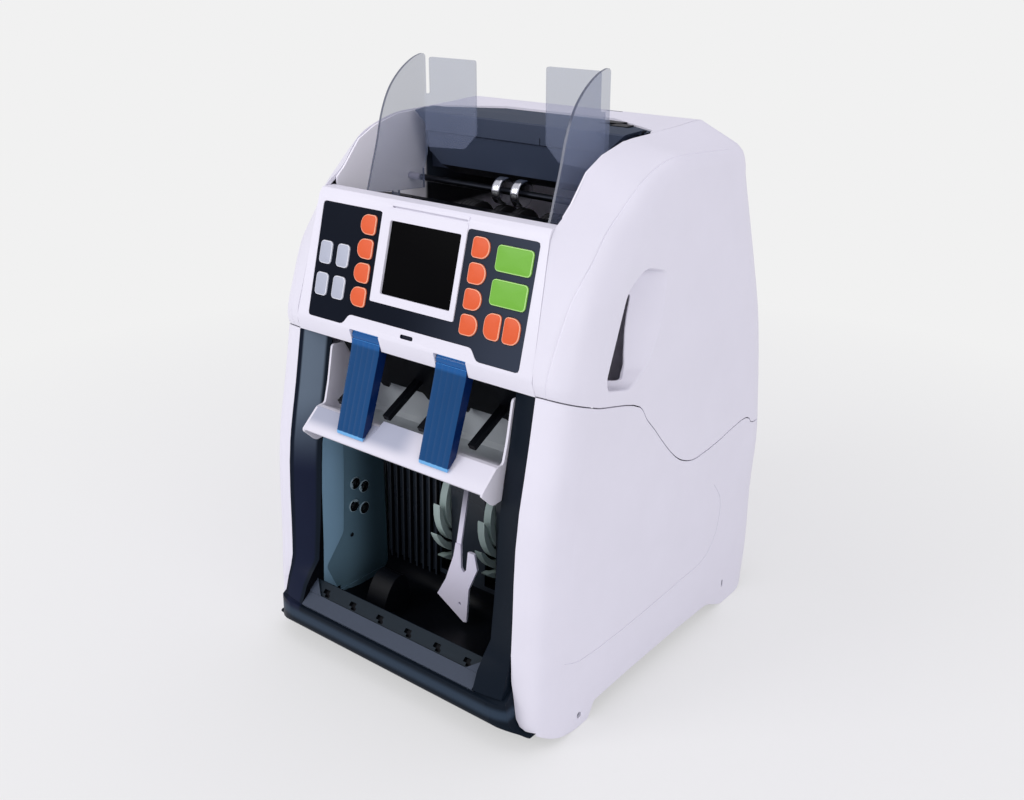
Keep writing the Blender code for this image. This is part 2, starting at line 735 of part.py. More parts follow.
# Shafts in the lower half, as (depth share, height share)
STACKER_AXIS_SHARES = (-0.107, 0.216)
STACKER_SHAFT_RADIUS = 0.004
MOTOR_AXIS_SHARES = (0.160, 0.127)
MOTOR_SHAFT_RADIUS = 0.0025
PRESS_AXIS_SHARES = (-0.256, 0.404)
GATE_AXIS_SHARES = (-0.196, 0.470)
AXLE_RADIUS = 0.0025
STRIKER_SHARES = (-0.241, 0.564)
STRIKER_RADIUS = 0.003
STRIKER_LONG = 0.008
CHASSIS_TOP_SHARES = [(-0.360, 0.571), (-0.215, 0.571), (-0.150, 0.530), (-0.090, 0.470),
                      (-0.010, 0.405), (0.056, 0.372), (0.300, 0.362), (0.440, 0.352)]
CHASSIS_WINDOW_SHARES = [(0.03, 0.06), (0.12, 0.06), (0.12, 0.18), (0.03, 0.18)]
CHASSIS_WINDOW_STEP_SHARE = 0.150


def ear_outline(start_angle, end_angle, steps=10):
    """Arc of a hinge ear about the hinge axis, from one angle down to another."""
    y, z = point_of(HINGE_SHARES)
    angles = [math.radians(start_angle + (end_angle - start_angle) * k / steps)
              for k in range(steps + 1)]
    return [(y + EAR_RADIUS * math.cos(a), z + EAR_RADIUS * math.sin(a)) for a in angles]


def behind_column(foot_y, foot_z, top_share):
    """Front edge of an inner side wall, from behind the bumper up along the column."""
    above = body_z(BUMPER_FLOOR_SHARE) + FIT * 2
    levels = [above] + [body_z(s) for s in COLUMN_SHARES if body_z(s) < body_z(top_share)]
    levels.append(body_z(top_share))
    return [(foot_y, foot_z), (foot_y, above)] + [(front_y(z) + COLUMN_DEEP + FIT, z)
                                                  for z in levels]


def chassis_plate(name, side):
    floor = TRAY_BOTTOM + SHELL_WALL + FIT
    fronts = behind_column(body_y(BUMPER_BACK_SHARE) + PLATE + FIT * 2, floor,
                           CHASSIS_TOP_SHARES[0][1])
    rear = rear_y(TRAY_BOTTOM) - SHELL_WALL - PLATE - FIT * 3
    hinge_y, hinge_z = point_of(HINGE_SHARES)
    outline = fronts + side_points(CHASSIS_TOP_SHARES)
    outline += ear_outline(100, -60)
    outline += [(rear, hinge_z - EAR_RADIUS * 3), (rear, floor + EAR_NECK),
                (rear - EAR_NECK, floor)]
    plate = prism(name, outline, side * CHASSIS_IN, side * CHASSIS_OUT, across_x)
    holes = []
    for shares, radius in ((STACKER_AXIS_SHARES, STACKER_SHAFT_RADIUS),
                           (MOTOR_AXIS_SHARES, MOTOR_SHAFT_RADIUS * 2),
                           (PRESS_AXIS_SHARES, AXLE_RADIUS), (GATE_AXIS_SHARES, AXLE_RADIUS)):
        holes.append(rod("hole", *point_of(shares), radius + FIT,
                         side * (CHASSIS_IN - OVERRUN), side * (CHASSIS_OUT + OVERRUN)))
    for step in (0, 1):
        shares = [(y + step * CHASSIS_WINDOW_STEP_SHARE, z) for y, z in CHASSIS_WINDOW_SHARES]
        moved = soften(side_points(shares), EAR_NECK * 2)
        if step or side < 0:
            holes.append(prism("window", moved, side * (CHASSIS_IN - OVERRUN),
                               side * (CHASSIS_OUT + OVERRUN), across_x))
    cut(plate, gather("holes", holes))
    striker = rod("striker", *point_of(STRIKER_SHARES), STRIKER_RADIUS,
                  side * (CHASSIS_IN + PLATE / 2), side * (CHASSIS_OUT + STRIKER_LONG))
    pin = turned("hinge_pin", [(side * x, radius) for x, radius in
                               ((CHASSIS_IN - HINGE_HEAD, HINGE_HEAD_RADIUS),
                                (CHASSIS_IN + PLATE / 2, HINGE_HEAD_RADIUS),
                                (CHASSIS_IN + PLATE / 2, HINGE_PIN_RADIUS),
                                (FRAME_OUT + FIT, HINGE_PIN_RADIUS))],
                 *point_of(HINGE_SHARES), 20)
    join(plate, striker, pin)
    return dress(plate, "steel")


# Covers at the rear, between the side covers
INLET_INSET = 0.0424
INLET_HIGH_SHARE = 0.115
INLET_WIDE = 0.048
INLET_HIGH = 0.026
INLET_FLANGE = 0.003
INLET_FLANGE_THICK = 0.0015
VENT_COUNT = 9
VENT_WIDE = 0.004
VENT_PITCH = 0.011
VENT_SHARES = (0.17, 0.30)
HINGE_NOTCH_LOW = 0.0078


def lower_rear_cover():
    levels = [REAR_FOOT] + [z for y, z in side_points(REAR_LINE_SHARES[1:-1])]
    levels += [body_z(SEAM_LINE_SHARES[-1][1]) - SEAM_GAP / 2]
    path = [(rear_y(z), z) for z in levels]
    cover = prism("lower_rear_cover", strip_outline(path[::-1], SHELL_WALL),
                  -CHEEK_HALF + FIT, CHEEK_HALF - FIT, across_x)
    back = BODY_DEPTH / 2
    tools = []
    hinge_z = body_z(HINGE_SHARES[1])
    for side in (-1, 1):
        low, high = sorted((side * (CHASSIS_IN - PLATE), side * (CHEEK_HALF + OVERRUN)))
        tools.append(block("hinge_notch", (low, back - OVERRUN, hinge_z - HINGE_NOTCH_LOW),
                           (high, back + OVERRUN, BODY_HEIGHT)))
    x, z = INLET_INSET - CHASSIS_IN, body_z(INLET_HIGH_SHARE)
    tools.append(block("inlet_hole", (x - INLET_WIDE / 2, back - OVERRUN, z - INLET_HIGH / 2),
                       (x + INLET_WIDE / 2, back + OVERRUN, z + INLET_HIGH / 2)))
    slots = []
    for k in range(VENT_COUNT):
        x = (k - (VENT_COUNT - 1) / 2) * VENT_PITCH
        outline = soften(box_outline(x - VENT_WIDE / 2, body_z(VENT_SHARES[0]),
                                     x + VENT_WIDE / 2, body_z(VENT_SHARES[1])),
                         VENT_WIDE / 2, 2)
        slots.append(prism("vent", outline, back - OVERRUN, back + OVERRUN, across_y))
    cut(cover, *tools, gather("vents", slots))
    return dress(cover, "white_plastic", 30)


TOP_PLATE_FRONT_SHARE = 0.031


def top_rear_cover():
    path = [(body_y(TOP_PLATE_FRONT_SHARE), body_z(UPPER_EDGE_SHARES[TOP_STATION][1]))]
    path += [(body_y(s[0]), body_z(s[1])) for s in UPPER_EDGE_SHARES[TOP_STATION + 1:]]
    path[-1] = (path[-1][0], seam_z(path[-1][0]) + SEAM_GAP / 2)
    cover = prism("top_rear_cover", strip_outline(path, SHELL_WALL), -CHEEK_HALF + FIT,
                  CHEEK_HALF - FIT, across_x)
    return dress(cover, "white_plastic", 30)


# Control panel
PANEL_WALL = 0.0035
PANEL_FACE = 0.0065
PANEL_SHARES = [(-0.4100, 0.6220), (-0.4190, 0.6490), (-0.4160, 0.6570), (-0.3400, 0.8720),
                (-0.3300, 0.8820), (-0.2970, 0.8820), (-0.2970, 0.6220)]
KEYPAD_HALF = 0.117
KEYPAD_HIGH = 0.0995
KEYPAD_STEP_LOW = 0.075
KEYPAD_STEP_HIGH = 0.068
KEYPAD_STEP = 0.0095
BEZEL_HALF = 0.0465
BEZEL_LOW = 0.025
KEYPAD_DEEP = 0.003
KEYPAD_CORNER = 0.003
WINDOW_LEFT = -0.036
WINDOW_RIGHT = 0.041
WINDOW_LOW = 0.033
WINDOW_HIGH = 0.094
WINDOW_CORNER = 0.0015
PORT_LONG = 0.014
PORT_HIGH = 0.0035
PORT_UP = 0.003
PORT_DEEP = 0.0015
STOPPER_CENTRE = 0.048
STOPPER_WIDE = 0.033
NOTCH_HIGH = 0.014
NOTCH_GAP = 0.0006
NOTCH_DEEP = 0.015


def keypad_outline():
    right = [(KEYPAD_STEP_HIGH, KEYPAD_STEP), (KEYPAD_STEP_LOW, 0), (KEYPAD_HALF, 0),
             (KEYPAD_HALF, KEYPAD_HIGH), (BEZEL_HALF, KEYPAD_HIGH), (BEZEL_HALF, BEZEL_LOW)]
    outline = right + [(-x, t) for x, t in reversed(right)]
    return soften(outline, KEYPAD_CORNER)


def panel_housing():
    outer = side_points(PANEL_SHARES)
    rings = []
    for side in (-1, 1):
        rings.append([(side * (panel_half(z) - FIT), y, z) for y, z in outer])
    housing = loft("panel_housing", rings)
    lean = PANEL_FACE / math.cos(PANEL_LEAN)
    low, high = body_z(PANEL_LOW_SHARE) + PANEL_WALL, body_z(PANEL_HIGH_SHARE) - PANEL_WALL
    inner = []
    for y, z in outer[:5]:
        level = min(max(z, low), high)
        inner.append((y + lean, level))
    inner = [inner[0], inner[2], inner[3]]
    inner[2] = (inner[1][0] + (high - inner[1][1]) * math.tan(PANEL_LEAN), high)
    back = outer[5][0] + OVERRUN
    inner += [(back, high), (back, low)]
    rings = []
    for side in (-1, 1):
        rings.append([(side * (panel_half(z) - FIT - PANEL_WALL), y, z) for y, z in inner])
    hollow = loft("panel_hollow", rings)
    recess = prism("keypad_recess", grow(keypad_outline(), FIT), -KEYPAD_DEEP - FIT, OVERRUN,
                   on_panel)
    window = prism("window", soften(box_outline(WINDOW_LEFT, WINDOW_LOW, WINDOW_RIGHT,
                                                WINDOW_HIGH), WINDOW_CORNER, 2),
                   -OVERRUN, OVERRUN, on_panel)
    port = prism("port", soften(box_outline(-PORT_LONG / 2, PORT_UP - PORT_HIGH / 2,
                                            PORT_LONG / 2, PORT_UP + PORT_HIGH / 2),
                                PORT_HIGH / 2, 3), -PORT_DEEP, OVERRUN, on_panel)
    notches = []
    front = body_y(PANEL_SHARES[1][0])
    for side in (-1, 1):
        x = side * STOPPER_CENTRE
        half = STOPPER_WIDE / 2 + NOTCH_GAP
        bottom = body_z(PANEL_LOW_SHARE)
        notches.append(block("notch", (x - half, front - OVERRUN, bottom - OVERRUN),
                             (x + half, front + NOTCH_DEEP, bottom + NOTCH_HIGH)))
    cut(housing, hollow, recess, window, port, gather("notches", notches))
    return dress(housing, "white_plastic", 30)


# Keys on the panel: sizes, then places from the panel's middle and its foot
KEY_ROUND_WIDE = 0.0175
KEY_ROUND_HIGH = 0.0168
KEY_TALL_WIDE = 0.0160
KEY_TALL_HIGH = 0.0210
KEY_GREEN_WIDE = 0.0350
KEY_GREEN_HIGH = 0.0205
KEY_GREY_WIDE = 0.0142
KEY_GREY_HIGH = 0.0198
KEY_LARGE_CORNER = 0.0078
KEY_SMALL_CORNER = 0.0036
KEY_GAP = 0.00035
KEY_BACK = 0.0013
KEY_PROUD = 0.0014
KEY_EDGE = 0.0006
KEY_COLUMN_LEFT = -0.0602
KEY_COLUMN_RIGHT = 0.0622
KEY_TOP = 0.0868
KEY_PITCH = 0.0203
GREEN_X = 0.0960
GREEN_TOP = 0.0822
GREEN_LOW = 0.0560
TALL_X_LEFT = 0.0853
TALL_X_RIGHT = 0.1046
TALL_UP = 0.0295
GREY_X_OUT = 0.1055
GREY_X_IN = 0.0848
GREY_TOP = 0.0565
GREY_LOW = 0.0290


def key_outline(x, up, wide, high, left_corner, right_corner):
    """Key with its own corner radius on the left and on the right."""
    left, right = x - wide / 2, x + wide / 2
    low, top = up - high / 2, up + high / 2
    outline = []
    for corner_x, corner_y, radius, start in (
            (right, low, right_corner, -90), (right, top, right_corner, 0),
            (left, top, left_corner, 90), (left, low, left_corner, 180)):
        centre_x = corner_x + (radius if corner_x == left else -radius)
        centre_y = corner_y + (radius if corner_y == low else -radius)
        for step in range(4):
            angle = math.radians(start + 30 * step)
            outline.append((centre_x + radius * math.cos(angle),
                            centre_y + radius * math.sin(angle)))
    return outline


def key_table():
    """Every key as name: (outline, finish)."""
    keys = {}
    for word, x, left, right in (
            ("left", KEY_COLUMN_LEFT, KEY_LARGE_CORNER, KEY_SMALL_CORNER),
            ("right", KEY_COLUMN_RIGHT, KEY_SMALL_CORNER, KEY_LARGE_CORNER)):
        for k in range(4):
            keys["key_orange_%s_%d" % (word, k + 1)] = (
                key_outline(x, KEY_TOP - k * KEY_PITCH, KEY_ROUND_WIDE, KEY_ROUND_HIGH, left,
                            right), "orange_key")
    for name, up in (("key_green_upper", GREEN_TOP), ("key_green_lower", GREEN_LOW)):
        keys[name] = (key_outline(GREEN_X, up, KEY_GREEN_WIDE, KEY_GREEN_HIGH,
                                  KEY_SMALL_CORNER, KEY_SMALL_CORNER), "green_key")
    for name, x, left, right in (
            ("key_orange_tall_left", TALL_X_LEFT, KEY_LARGE_CORNER, KEY_SMALL_CORNER),
            ("key_orange_tall_right", TALL_X_RIGHT, KEY_SMALL_CORNER, KEY_LARGE_CORNER)):
        keys[name] = (key_outline(x, TALL_UP, KEY_TALL_WIDE, KEY_TALL_HIGH, left, right),
                      "orange_key")
    number = 0
    for up in (GREY_TOP, GREY_LOW):
        for x in (-GREY_X_OUT, -GREY_X_IN):
            number += 1
            keys["key_grey_%d" % number] = (
                key_outline(x, up, KEY_GREY_WIDE, KEY_GREY_HIGH, KEY_SMALL_CORNER,
                            KEY_SMALL_CORNER), "grey_key")
    return keys


def keypad_overlay():
    overlay = prism("keypad_overlay", keypad_outline(), -KEYPAD_DEEP, 0, on_panel)
    holes = [prism("key_hole", grow(outline, KEY_GAP), -OVERRUN, OVERRUN, on_panel)
             for outline, finish in key_table().values()]
    cut(overlay, gather("key_holes", holes))
    return dress(overlay, "keypad_film")


def keys():
    back = -KEYPAD_DEEP + KEY_BACK
    for name, (outline, finish) in key_table().items():
        outline = turn(outline)
        rings = [[on_panel(u, v, w) for u, v in ring] for ring, w in
                 ((outline, back), (outline, KEY_PROUD - KEY_EDGE),
                  (grow(outline, -KEY_EDGE), KEY_PROUD))]
        key = loft(name, rings)
        middle_u = sum(u for u, v in outline) / len(outline)
        middle_v = sum(v for u, v in outline) / len(outline)
        dress(key, finish, 50)
        place_origin(key, on_panel(middle_u, middle_v, 0))


DISPLAY_SUNK = 0.001
DISPLAY_BORDER = 0.004
DISPLAY_THICK = 0.007


def display_module():
    outline = soften(box_outline(WINDOW_LEFT, WINDOW_LOW, WINDOW_RIGHT, WINDOW_HIGH),
                     WINDOW_CORNER)
    glass = prism("display_module", grow(outline, -FIT), -DISPLAY_SUNK,
                  -PANEL_FACE - DISPLAY_BORDER, on_panel)
    back = -PANEL_FACE - FIT
    body = prism("display_body", box_outline(WINDOW_LEFT - DISPLAY_BORDER,
                                             WINDOW_LOW - DISPLAY_BORDER,
                                             WINDOW_RIGHT + DISPLAY_BORDER,
                                             WINDOW_HIGH + DISPLAY_BORDER),
                 back, back - DISPLAY_THICK, on_panel)
    join(glass, body)
    return dress(glass, "display_glass")


# Stoppers that hang from the panel's notches in front of the reject tray
STOPPER_AXIS_SHARES = (-0.4000, 0.6395)
STOPPER_KNUCKLE = 0.0050
STOPPER_SHARES = [(-0.4130, 0.6330), (-0.4180, 0.6170), (-0.4800, 0.4700), (-0.4785, 0.4645),
                  (-0.4490, 0.4850), (-0.3880, 0.6210), (-0.3870, 0.6330)]
STOPPER_WALL = 0.0022
STOPPER_TAPER = 0.001
STOPPER_PIVOT_RADIUS = 0.0015


def stopper(name, side):
    centre = side * STOPPER_CENTRE
    half = STOPPER_WIDE / 2
    axis = point_of(STOPPER_AXIS_SHARES)
    outline = side_points(STOPPER_SHARES)
    low = min(z for y, z in outline)
    high = max(z for y, z in outline)
    rings = []
    for edge in (-1, 1):
        rings.append([(centre + edge * (half - STOPPER_TAPER * (high - z) / (high - low)), y, z)
                      for y, z in outline])
    body = loft(name, rings)
    knuckle = rod("knuckle", *axis, STOPPER_KNUCKLE, centre - half, centre + half, 20)
    join(body, knuckle)
    channel = [(y + STOPPER_WALL, z) for y, z in
               (outline[1], outline[2], (outline[3][0] + OVERRUN, outline[3][1] + STOPPER_WALL),
                (outline[5][0] + OVERRUN, outline[5][1]))]
    channel[1] = (channel[1][0], channel[1][1] + STOPPER_WALL)
    hollow = prism("channel", channel, centre - half + STOPPER_WALL * 1.5,
                   centre + half - STOPPER_WALL * 1.5, across_x)
    cut(body, hollow)
    dress(body, "blue_clear", 35)
    place_origin(body, (centre, *axis))
    return body


# Reject tray in the lower half and reject chute in the upper half
TRAY_SHEET = 0.0025
REJECT_SHARES = [(-0.4904, 0.4530), (-0.4410, 0.4873), (-0.4300, 0.4873), (-0.3200, 0.4450),
                 (-0.2700, 0.4400), (-0.2590, 0.4480), (-0.2590, 0.5550)]
REJECT_SIDE_SHARES = [(-0.4904, 0.4480), (-0.4904, 0.4534), (-0.4412, 0.4875),
                      (-0.4170, 0.4875), (-0.3690, 0.5970), (-0.2570, 0.5900),
                      (-0.2570, 0.4340), (-0.4560, 0.4210)]
REJECT_SIDE = 0.0022
SIDE_GAP = 0.0005


def reject_tray():
    half = POCKET_HALF - SIDE_GAP
    tray = prism("reject_tray", strip_outline(side_points(REJECT_SHARES), TRAY_SHEET),
                 -half + REJECT_SIDE / 2, half - REJECT_SIDE / 2, across_x)
    walls = [prism("wall", side_points(REJECT_SIDE_SHARES), side * (half - REJECT_SIDE),
                   side * half, across_x) for side in (-1, 1)]
    join(tray, *walls)
    return dress(tray, "white_plastic", 30)


CHUTE_SHARES = [(-0.3650, 0.6213), (-0.3070, 0.5380)]
CHUTE_INSET = 0.0065
CHUTE_HALF = POCKET_HALF - CHUTE_INSET
CHUTE_FINGERS = (0.020, 0.075)
FINGER_SHARES = [(-0.3150, 0.5480), (-0.4300, 0.5010)]
FINGER_THICK = 0.005
FINGER_WIDE = 0.007
FINGER_BRACE_SHARES = [(-0.3300, 0.5700), (-0.3420, 0.5370), (-0.3080, 0.5350), (-0.3000, 0.5400)]


def reject_chute():
    chute = prism("reject_chute", strip_outline(side_points(CHUTE_SHARES), TRAY_SHEET),
                  -CHUTE_HALF, CHUTE_HALF, across_x)
    fingers = []
    for centre in CHUTE_FINGERS:
        for side in (-1, 1):
            low = side * centre - FINGER_WIDE / 2
            outline = strip_outline(side_points(FINGER_SHARES), FINGER_THICK)
            fingers.append(prism("finger", outline, low, low + FINGER_WIDE, across_x))
            fingers.append(prism("brace", side_points(FINGER_BRACE_SHARES),
                                 low - FINGER_WIDE / 4, low + FINGER_WIDE * 1.25, across_x))
    join(chute, *fingers)
    return dress(chute, "black_plastic")


# Stacker pocket
STACKER_WALL_HIGH_SHARE = 0.416
STACKER_WALL_LOW_SHARE = 0.055
STACKER_BACK_SHARE = -0.226
WALL_HOLE_RADIUS = 0.0052
WALL_HOLE_SHARES = [(-0.330, 0.288), (-0.300, 0.272), (-0.338, 0.240), (-0.303, 0.224)]


def stacker_wall(name, side):
    outline = behind_column(body_y(BUMPER_BACK_SHARE) + FIT, body_z(STACKER_WALL_LOW_SHARE),
                            STACKER_WALL_HIGH_SHARE)
    back = body_y(STACKER_BACK_SHARE)
    outline += [(back, body_z(STACKER_WALL_HIGH_SHARE)), (back, body_z(STACKER_WALL_LOW_SHARE))]
    wall = prism(name, outline, side * (POCKET_HALF + FIT), side * (POCKET_HALF + LINER),
                 across_x)
    holes = [rod("hole", body_y(y), body_z(z), WALL_HOLE_RADIUS, side * (POCKET_HALF - OVERRUN),
                 side * (POCKET_HALF + OVERRUN), 12) for y, z in WALL_HOLE_SHARES]
    holes.append(rod("axle_hole", *point_of(PRESS_AXIS_SHARES), AXLE_RADIUS + FIT,
                     side * (POCKET_HALF - OVERRUN), side * (POCKET_HALF + OVERRUN)))
    cut(wall, gather("holes", holes))
    return dress(wall, "stacker_plastic")


STACKER_TRAY_SHARES = [(-0.3985, 0.0652), (-0.3600, 0.0590), (-0.3160, 0.0560),
                       (-0.2500, 0.0610), (-0.2310, 0.0770), (-0.2246, 0.1000),
                       (-0.2160, 0.3850)]
WHEEL_CENTRE = 0.027
WHEEL_WIDE = 0.008
WHEEL_SLOT = 0.013
WHEEL_SLOT_SHARES = (0.110, 0.330)
RIB_WIDE = 0.003
RIB_DEEP = 0.005
RIB_FIRST = 0.045
RIB_PITCH = 0.013
RIB_COUNT = 4
RIB_SHARES = [(-0.2370, 0.0950), (-0.2246, 0.0950), (-0.2160, 0.3830), (-0.2270, 0.3830)]


def stacker_tray():
    half = POCKET_HALF - FIT
    tray = prism("stacker_tray", strip_outline(side_points(STACKER_TRAY_SHARES), TRAY_SHEET),
                 -half, half, across_x)
    back = body_y(STACKER_BACK_SHARE)
    slots = []
    ribs = []
    for side in (-1, 1):
        x = side * WHEEL_CENTRE
        slots.append(block("slot", (x - WHEEL_SLOT / 2, back - OVERRUN,
                                    body_z(WHEEL_SLOT_SHARES[0])),
                           (x + WHEEL_SLOT / 2, back + OVERRUN, body_z(WHEEL_SLOT_SHARES[1]))))
        for k in range(RIB_COUNT):
            x = side * (RIB_FIRST + k * RIB_PITCH)
            ribs.append(prism("rib", [(y + FIT, z) for y, z in side_points(RIB_SHARES)],
                              x - RIB_WIDE / 2, x + RIB_WIDE / 2, across_x))
    join(tray, gather("ribs", ribs))
    cut(tray, gather("slots", slots))
    return dress(tray, "black_plastic", 30)


WHEEL_RADIUS = 0.060
WHEEL_HUB = 0.018
WHEEL_SLEEVE = 0.007
BLADE_COUNT = 12
BLADE_THICK = 0.0018
BLADE_SWEEP = math.radians(62)
BLADE_STEPS = 5


def blade_outline(start_angle):
    """A curved blade in the side view, from inside the hub to the wheel's rim."""
    axis = Vector(point_of(STACKER_AXIS_SHARES))
    root = WHEEL_HUB - BLADE_THICK
    path = []
    for step in range(BLADE_STEPS + 1):
        share = step / BLADE_STEPS
        radius = root + (WHEEL_RADIUS - root) * share
        angle = start_angle + BLADE_SWEEP * share ** 1.6
        path.append(tuple(axis + Vector((math.cos(angle), math.sin(angle))) * radius))
    return strip_outline(path, BLADE_THICK)


def stacker_wheels():
    axis = point_of(STACKER_AXIS_SHARES)
    near, far = WHEEL_CENTRE - WHEEL_WIDE / 2, WHEEL_CENTRE + WHEEL_WIDE / 2
    profile = [(-far, WHEEL_HUB), (-near, WHEEL_HUB), (-near, WHEEL_SLEEVE),
               (near, WHEEL_SLEEVE), (near, WHEEL_HUB), (far, WHEEL_HUB)]
    wheels = turned("stacker_wheels", profile, *axis, 24)
    blades = []
    for side in (-1, 1):
        low, high = sorted((side * near, side * far))
        blades += [prism("blade", blade_outline(2 * math.pi * k / BLADE_COUNT), low, high,
                         across_x) for k in range(BLADE_COUNT)]
    join(wheels, gather("blades", blades))
    cut(wheels, rod("bore", *axis, STACKER_SHAFT_RADIUS + FIT, -far - OVERRUN, far + OVERRUN))
    dress(wheels, "blade_rubber", 30)
    place_origin(wheels, (0, *axis))
    return wheels


# Drive: pulleys outside the right chassis plate, joined by a belt
PULLEY_GAP = 0.006
PULLEY_WIDE = 0.009
STACKER_PULLEY = 0.015
MOTOR_PULLEY = 0.012
PULLEY_FLANGE = 0.0015
FLANGE_THICK = 0.001
SHAFT_END = 0.002
BELT_WIDE = 0.006
BELT_THICK = 0.0014
MOTOR_RADIUS = 0.022
MOTOR_LONG = 0.050
MOTOR_BOSS = 0.008


def pulley_profile(radius, shaft_radius, start):
    near = CHASSIS_OUT + PULLEY_GAP
    far = near + PULLEY_WIDE
    rim = radius + PULLEY_FLANGE
    return [(start, shaft_radius), (near, shaft_radius), (near, rim),
            (near + FLANGE_THICK, rim), (near + FLANGE_THICK, radius),
            (far - FLANGE_THICK, radius), (far - FLANGE_THICK, rim), (far, rim),
            (far, shaft_radius), (far + SHAFT_END, shaft_radius)]


def stacker_shaft():
    start = -CHASSIS_OUT - SHAFT_END
    shaft = turned("stacker_shaft", pulley_profile(STACKER_PULLEY, STACKER_SHAFT_RADIUS, start),
                   *point_of(STACKER_AXIS_SHARES), 24)
    dress(shaft, "steel", 30)
    place_origin(shaft, (0, *point_of(STACKER_AXIS_SHARES)))
    return shaft


def motor_pulley():
    pulley = turned("motor_pulley", pulley_profile(MOTOR_PULLEY, MOTOR_SHAFT_RADIUS,
                                                   CHASSIS_IN + FIT),
                    *point_of(MOTOR_AXIS_SHARES), 24)
    dress(pulley, "steel", 30)
    place_origin(pulley, (0, *point_of(MOTOR_AXIS_SHARES)))
    return pulley


def main_motor():
    end = CHASSIS_IN - FIT
    profile = [(end - MOTOR_LONG, MOTOR_BOSS), (end - MOTOR_LONG + SHAFT_END, MOTOR_BOSS),
               (end - MOTOR_LONG + SHAFT_END, MOTOR_RADIUS), (end, MOTOR_RADIUS)]
    motor = turned("main_motor", profile, *point_of(MOTOR_AXIS_SHARES), 28)
    return dress(motor, "steel", 30)


def belt_loop(first, first_radius, second, second_radius, steps=10):
    """Outline of a belt round two pulleys, at the given distances from their centres."""
    first, second = Vector(first), Vector(second)
    line = second - first
    heading = math.atan2(line.y, line.x)
    lean = math.acos((first_radius - second_radius) / line.length)
    outline = []
    for centre, radius, start, end in ((second, second_radius, -lean, lean),
                                       (first, first_radius, lean, 2 * math.pi - lean)):
        for k in range(steps + 1):
            angle = heading + start + (end - start) * k / steps
            outline.append(tuple(centre + Vector((math.cos(angle), math.sin(angle))) * radius))
    return outline


def drive_belt():
    middle = CHASSIS_OUT + PULLEY_GAP + PULLEY_WIDE / 2
    low, high = middle - BELT_WIDE / 2, middle + BELT_WIDE / 2
    ends = (point_of(STACKER_AXIS_SHARES), point_of(MOTOR_AXIS_SHARES))
    inner = FIT
    outer = FIT + BELT_THICK
    belt = prism("drive_belt", belt_loop(ends[0], STACKER_PULLEY + outer,
                                         ends[1], MOTOR_PULLEY + outer), low, high, across_x)
    inside = prism("belt_inside", belt_loop(ends[0], STACKER_PULLEY + inner,
                                            ends[1], MOTOR_PULLEY + inner),
                   low - OVERRUN, high + OVERRUN, across_x)
    cut(belt, inside)
    return dress(belt, "rubber", 30)


# Press arm: an axle, two rails and a fork plate that lie against the stacked notes
FORK_SHARES = [(0.098, 0.237), (0.134, 0.237), (0.134, 0.186), (0.152, 0.178), (0.171, 0.186),
               (0.189, 0.237), (0.226, 0.237), (0.250, 0.195), (0.186, 0.144), (0.165, 0.068),
               (0.143, 0.066), (-0.049, 0.106), (0.018, 0.148), (0.079, 0.206)]
FORK_PLACE_SHARE = -0.3155
FORK_THICK = 0.0025
FORK_HOLE_SHARES = (0.12, 0.105)
FORK_HOLE_RADIUS = 0.0015
RAIL_SHARES = [(0.098, 0.134), (0.189, 0.226)]
RAIL_HIGH_SHARES = (0.215, 0.240)
RAIL_THICK = 0.002
HUB_RADIUS = 0.0045


def stack_press_arm():
    axis = point_of(PRESS_AXIS_SHARES)
    reach = CHASSIS_OUT
    arm = rod("stack_press_arm", *axis, AXLE_RADIUS, -reach, reach, 12)
    y = body_y(FORK_PLACE_SHARE)
    plate = prism("fork", [(x * HALF_WIDTH, body_z(z)) for x, z in FORK_SHARES], y,
                  y + FORK_THICK, across_y)
    cut(plate, prism("fork_hole", round_outline(FORK_HOLE_SHARES[0] * HALF_WIDTH,
                                                body_z(FORK_HOLE_SHARES[1]),
                                                FORK_HOLE_RADIUS, 10),
                     y - OVERRUN, y + OVERRUN, across_y))
    low, high = (body_z(share) for share in RAIL_HIGH_SHARES)
    path = [(y + FORK_THICK / 2, low), (y + FORK_THICK / 2, high),
            (axis[0] - HUB_RADIUS / 2, axis[1])]
    parts = [plate]
    for low, high in RAIL_SHARES:
        parts.append(prism("rail", strip_outline(path, RAIL_THICK), low * HALF_WIDTH + FIT,
                           high * HALF_WIDTH - FIT, across_x))
    parts.append(rod("hub", *axis, HUB_RADIUS, (RAIL_SHARES[0][0] - RAIL_THICK) * HALF_WIDTH,
                     (RAIL_SHARES[1][1] + RAIL_THICK) * HALF_WIDTH))
    join(arm, *parts)
    dress(arm, "white_plastic", 30)
    place_origin(arm, (0, *axis))
    return arm


GATE_FINGERS = 6
GATE_PITCH = 0.030
GATE_WIDE = 0.008
GATE_SHARES = [(-0.2030, 0.4650), (-0.1890, 0.4650), (-0.1860, 0.5020), (-0.2000, 0.5330),
               (-0.2010, 0.5000)]


def diverter_gate():
    axis = point_of(GATE_AXIS_SHARES)
    gate = rod("diverter_gate", *axis, AXLE_RADIUS, -CHASSIS_OUT, CHASSIS_OUT, 12)
    fingers = []
    for k in range(GATE_FINGERS):
        x = (k - (GATE_FINGERS - 1) / 2) * GATE_PITCH
        fingers.append(prism("vane", side_points(GATE_SHARES), x - GATE_WIDE / 2,
                             x + GATE_WIDE / 2, across_x))
    join(gate, gather("vanes", fingers))
    dress(gate, "black_plastic", 30)
    place_origin(gate, (0, *axis))
    return gate


# Electrical pieces
BOARD_X_SHARES = (-0.600, 0.150)
BOARD_Y_SHARES = (0.030, 0.400)
BOARD_THICK = 0.0016
STANDOFF = 0.005
STANDOFF_RADIUS = 0.003
STANDOFF_INSET = 0.008
